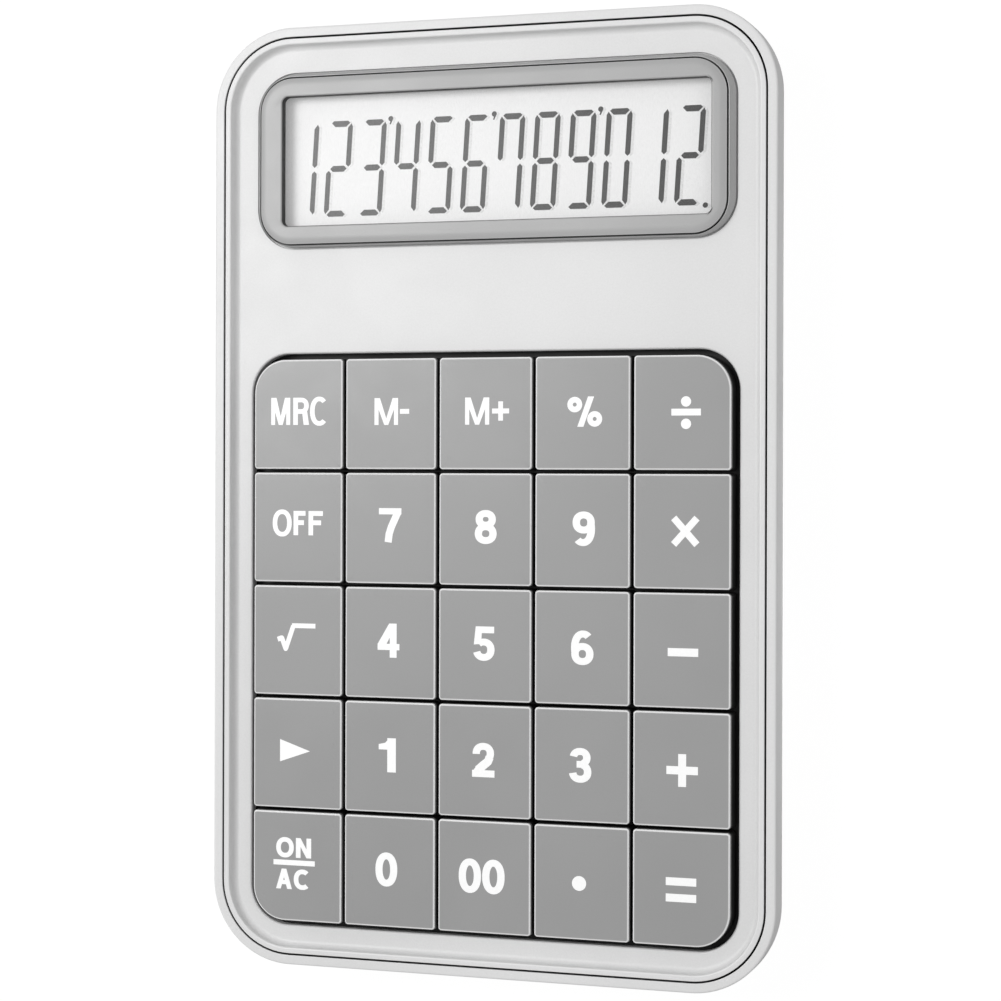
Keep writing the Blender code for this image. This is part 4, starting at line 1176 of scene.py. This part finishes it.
LEGENDS = {
    "key_mrc": word(*MRC),
    "key_memory_minus": word(("M", -0.68, 0.36, 3.85, 4.1)) + M_MINUS,
    "key_memory_plus": word(("M", -1.27, 0.36, 3.85, 4.1)) + M_PLUS,
    "key_percent": percent(),
    "key_divide": [bar(-1.63, -0.44, 2.82, 0.56), disc(0.58, 1.62, 0.77), disc(0.58, -1.66, 0.77)],
    "key_off": word(*OFF),
    "key_7": moved(digit_7(), 0, 0.48),
    "key_8": moved(digit_8(), 0.14, 0.36),
    "key_9": moved(digit_9(), 0.27, 0.25),
    "key_multiply": multiply(),
    "key_square_root": square_root(),
    "key_4": moved(digit_4(), -0.21, 0.35),
    "key_5": moved(digit_5(), -0.1, 0.25),
    "key_6": moved(digit_6(), 0.09, 0.05),
    "key_minus": [bar(-2.08, -0.85, 2.52, 0.35)],
    "key_backspace": [shape((-2.87, 2.12), (-2.87, -1.33), (2.13, 0.4))],
    "key_1": moved(digit_1(), -0.36, 0.32),
    "key_2": moved(digit_2(), -0.14, 0.22),
    "key_3": moved(digit_3(), -0.14, 0.02),
    "key_plus": [bar(-2.23, -0.7, 2.52, 0.5), bar(-0.45, -2.5, 0.75, 2.3)],
    "key_on_clear": word(*ON, *AC) + [bar(-3.92, 0.14, 2.98, 0.94)],
    "key_0": moved(digit_0(), -0.46, 0.34),
    "key_00": moved(digit_00(), -0.36, 0.14),
    "key_decimal_point": [disc(-0.31, -0.07, 1.1, 40)],
    "key_equals": [bar(-2.28, 0.45, 2.32, 1.62), bar(-2.28, -1.95, 2.32, -0.78)],
}


# ---------------------------------------------------------------- keys


def key_cap(node, field):
    """Hollow cap with softened edges, its stem and the stem's barbs, and its legend."""
    low, high = mm_box(node)
    half, middle = half_and_middle(node)
    half = (half.x - KEY_DRAFT, half.y - KEY_DRAFT)
    field_half, field_middle = field
    corners = []
    for side_x, side_y in ((1, 1), (-1, 1), (-1, -1), (1, -1)):
        at_x = abs(middle.x + side_x * half[0] - field_middle.x - side_x * field_half[0]) < 1
        at_y = abs(middle.y + side_y * half[1] - field_middle.y - side_y * field_half[1]) < 1
        corners.append(FIELD_CORNER if at_x and at_y else KEY_CORNER)

    def ring(inset, z):
        size = (half[0] - inset, half[1] - inset)
        return outline(size, [c - inset for c in corners], z, middle)

    def stem(extra, z):
        return outline((STEM_HALF, STEM_HALF + extra), 0.4, z, middle)

    skirt_z = high.z - KEY_SKIRT
    ceiling_z = high.z - KEY_TOP_THICKNESS
    path = [
        (2.0, high.z, 0),
        (0.0, high.z, KEY_EDGE),
        (-KEY_DRAFT * 0.3, high.z - KEY_SHADE_DEPTH, 0),
        (-KEY_DRAFT, skirt_z, 0.08),
        (KEY_WALL - KEY_DRAFT, skirt_z, 0.08),
        (KEY_WALL, ceiling_z, 0.15),
        (KEY_WALL + 0.4, ceiling_z, 0),
    ]
    rings = [ring(p.x, p.y) for p in rounded(path, steps=6)]
    rings += [stem(0, ceiling_z), stem(0, BARB_Z), stem(BARB_REACH, BARB_Z), stem(0, low.z)]
    # The top edge is lightened as rubbing and a painted highlight, and the sides darken towards the skirt as
    # painted shade between the keys.
    wear_and_painted_light = arc_wear_and_light(path, 6, shaded=(2, 3))
    new_piece(node + "_cap", loft(rings, wear_and_painted_light=wear_and_painted_light), KEY_PLASTIC, node, node)
    ink = plate(moved(LEGENDS[node], middle.x, middle.y), high.z, high.z + INK_THICKNESS)
    new_piece(node + "_legend", ink, WHITE_INK, node)


def rubber_mat():
    """The mat's sheet, and on it one soft dome under each key."""
    low, high = mm_box("rubber_key_mat")
    half, middle = half_and_middle("rubber_key_mat")
    blank = rounded_sheet(half, middle, MAT_CORNER, (low.z, low.z + MAT_SHEET), (0.1, 0.15))
    sheet = new_piece("rubber_mat_sheet", blank, SILICONE, CASE, "rubber_key_mat")
    inner_base = DOME_BASE - DOME_WALL
    holes = [tube(place_of(node), inner_base, low.z - THROUGH, high.z) for node in LEGENDS]
    for side in (-1, 1):
        for rows in (-1.5, -0.5, 1.5):
            between_keys = (side * 1.5 * KEY_PITCH.x, FIELD_Y + rows * KEY_PITCH.y)
            holes.append(tube(between_keys, MAT_HOLE, low.z - THROUGH, high.z))
    carve(sheet, join(*holes))
    base = low.z + MAT_SHEET - 0.1
    path = [
        (0, high.z, 0),
        (DOME_TOP, high.z, 0.3),
        (DOME_BASE, base, 0.1),
        (inner_base, base, 0.1),
        (DOME_TOP - DOME_WALL, high.z - DOME_ROOF, 0.2),
        (0, high.z - DOME_ROOF, 0),
    ]
    for node in LEGENDS:
        place = place_of(node)
        dome = new_piece(node + "_dome", turned(path, 4, 48, place), SILICONE, CASE)
        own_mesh(dome)


# ---------------------------------------------------------------- back


def battery_door():
    """Plate with two tongues, a latch and four grip grooves."""
    blank = rounded_sheet(DOOR_HALF, DOOR_PLACE, DOOR_CORNER, DOOR_Z, (0.18, 0.1))
    obj = new_piece("battery_door_panel", blank, CASE_PLASTIC, DOOR, DOOR)
    tongue_roots = both_sides((4.0, 8.0), (57.6, 59.7), (1.2, 2.5))
    tongue_tips = both_sides((4.0, 8.0), (59.0, 61.6), (DOOR_Z[1], 2.5))
    latch_root = block((-3.0, 3.0), (34.6, 36.2), (1.2, 2.35))
    latch_tip = block((-3.0, 3.0), (33.35, 35.0), (1.65, 2.35))
    carve(obj, join(*tongue_roots, *tongue_tips, latch_root, latch_tip), "UNION")
    floor_z = DOOR_Z[0] + GRIP_DEPTH
    grooves = [
        flared(GRIP_HALF, 0.29, (0, GRIP_FIRST_Y + GRIP_PITCH * count), floor_z, DOOR_Z[0], 0.12, -1)
        for count in range(4)
    ]
    carve(obj, join(*grooves))


def rubber_foot(node):
    low, high = mm_box(node)
    half, middle = half_and_middle(node)
    path = [
        (0, low.z, 0),
        (half.x - 1.1, low.z, 0.15),
        (half.x - 0.9, low.z + 0.06, 0.15),
        (half.x, low.z + 0.06, 0.45),
        (half.x, high.z, 0.1),
        (0, high.z, 0),
    ]
    new_piece(node + "_pad", turned(path, 5, 64, middle), RUBBER, CASE, node)


def case_screw(node):
    """Screw with a rounded head, a cross recess and turned ridges for its thread."""
    low, high = mm_box(node)
    middle = place_of(node)
    head, shank = SCREW_HEAD[0], SCREW_SHANK
    neck_z = low.z + SCREW_HEAD[1]
    core = shank - THREAD_DEPTH
    path = [(0, low.z, 0), (head, low.z, 0.5), (head, neck_z, 0.05), (shank, neck_z, 0.05)]
    profile = [(p.x, p.y) for p in rounded(path, steps=5)]
    for turn in range(int((high.z - neck_z - 0.8) / THREAD_PITCH)):
        z = neck_z + 0.25 + THREAD_PITCH * turn
        profile += [(core, z), (core, z + 0.16), (shank, z + 0.3), (shank, z + 0.36)]
    profile += [(shank - 0.25, high.z - 0.5), (0, high.z)]
    obj = new_piece(node + "_fastener", lathe(profile, 40, middle), STEEL, CASE, node)
    arm, width = head * 0.6, 0.26
    cross = []
    for across, along in ((arm, width), (width, arm)):
        mouth_ring = outline((across, along), 0.1, low.z - 0.2, middle)
        tip_ring = outline((across * 0.92, along * 0.92), 0.08, low.z + 0.6, middle)
        cross.append(loft([mouth_ring, tip_ring]))
    carve(obj, join(*cross))


# ---------------------------------------------------------------- carried-over nodes


CARRIED = {
    "lcd_reflector": LCD_BACK,
    "lcd_retainer": BLACK_PLASTIC,
    "lcd_ribbon_cable": RIBBON,
    "key_guide_plate": BLACK_PLASTIC,
    "circuit_board": BOARD,
    "processor_blob": EPOXY,
    "ceramic_capacitor": CERAMIC,
    "coin_cell": STEEL,
    "battery_negative_spring": NICKEL,
    "battery_positive_clip": NICKEL,
    "battery_lead_red": RED_WIRE,
    "battery_lead_black": BLACK_WIRE,
}


def finish_carried_nodes():
    """Gives each CAD node that still shows its finish. Those not in CARRIED are small screws."""
    for node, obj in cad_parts.items():
        if not obj.hide_render:
            for slot in obj.material_slots:
                slot.material = CARRIED.get(node, STEEL)


# ---------------------------------------------------------------- studio

FLOOR_HALF = 6000


def aim(obj, target, roll=0.0):
    """Points an object's -Z at a target with +Y up, then rolls it."""
    back = (obj.location - Vector(target)).normalized()
    right = Vector((0, 1, 0)).cross(back).normalized()
    up = back.cross(right)
    turn = Matrix((right, up, back)).transposed()
    obj.rotation_mode = "QUATERNION"
    obj.rotation_quaternion = (turn @ Matrix.Rotation(roll, 3, "Z")).to_quaternion()


def softbox(name, place, target, size, power):
    light = bpy.data.lights.new(name, "AREA")
    light.shape = "RECTANGLE"
    light.size = light.size_y = size * MM
    light.energy = power
    obj = new_object(name, light)
    obj.location = Vector(place) * MM
    aim(obj, Vector(target) * MM)


def studio_floor():
    """Pale floor that glows a little, so that shadows on it stay faint. Seen from below it is clear."""
    bm = bmesh.new()
    bmesh.ops.create_grid(bm, x_segments=8, y_segments=8, size=FLOOR_HALF * MM)
    mesh = bpy.data.meshes.new("floor")
    bm.to_mesh(mesh)
    bm.free()
    shader = Shader("floor_paper")
    shader.set(Roughness=0.8, Base_Color=grey(0.5))
    rays = shader.node("ShaderNodeLightPath").outputs
    glow = shader.node("ShaderNodeEmission", {"Strength": 1.12})
    paper = shader.blend(shader.math("MULTIPLY", rays["Is Camera Ray"], 0.85), shader.main, glow)
    below = shader.node("ShaderNodeNewGeometry").outputs["Backfacing"]
    unseen = shader.math("MAXIMUM", below, rays["Is Shadow Ray"])
    shader.show(shader.blend(unseen, paper, shader.node("ShaderNodeBsdfTransparent")))
    mesh.materials.append(shader.material)
    new_object("floor", mesh)


def studio():
    studio_floor()
    world = bpy.data.worlds.new("studio")
    world.use_nodes = True
    background = world.node_tree.nodes["Background"]
    background.inputs["Color"].default_value = (1, 1, 1, 1)
    background.inputs["Strength"].default_value = 0.5
    bpy.context.scene.world = world
    softbox("key_light", (-300, 140, 560), (0, 0, 10), 300, 1.52)
    softbox("gloss_light", (-310, 150, 520), (-30, 10, 10), 200, 0.45)
    softbox("fill_light", (400, 60, 420), (0, 0, 10), 340, 0.35)
    softbox("under_light", (0, 0, -400), (0, 0, 0), 200, 1.0)
    bpy.context.scene.view_settings.view_transform = "Standard"


CAMERA_PLACE = (116.0, 4.4, 345.7)
CAMERA_TARGET = (2.37, 4.43, 0.0)
CAMERA_ROLL = math.radians(0.16)
CAMERA_LENS = 87.07
CAMERA_SHIFT = (0.0005, -0.0325)


def camera():
    """Camera above the rim, right of the calculator. Its places are measured from the rim's plane."""
    data = bpy.data.cameras.new("camera")
    data.lens = CAMERA_LENS
    data.sensor_width = 36.0
    data.shift_x, data.shift_y = CAMERA_SHIFT
    data.clip_start, data.clip_end = 0.01, 20.0
    obj = new_object("camera", data)
    rim = Vector((0, 0, RIM_Z))
    obj.location = (Vector(CAMERA_PLACE) + rim) * MM
    aim(obj, (Vector(CAMERA_TARGET) + rim) * MM, CAMERA_ROLL)
    bpy.context.scene.camera = obj


def main():
    field = key_field()
    rear_case()
    front_cover(field)
    display_bezel()
    display_window()
    lcd_cell()
    lcd_segments()
    for node in LEGENDS:
        key_cap(node, field)
    rubber_mat()
    battery_door()
    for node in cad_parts:
        if node.startswith("rubber_foot"):
            rubber_foot(node)
        if node.startswith("case_screw"):
            case_screw(node)
    finish_carried_nodes()
    studio()
    camera()


main()
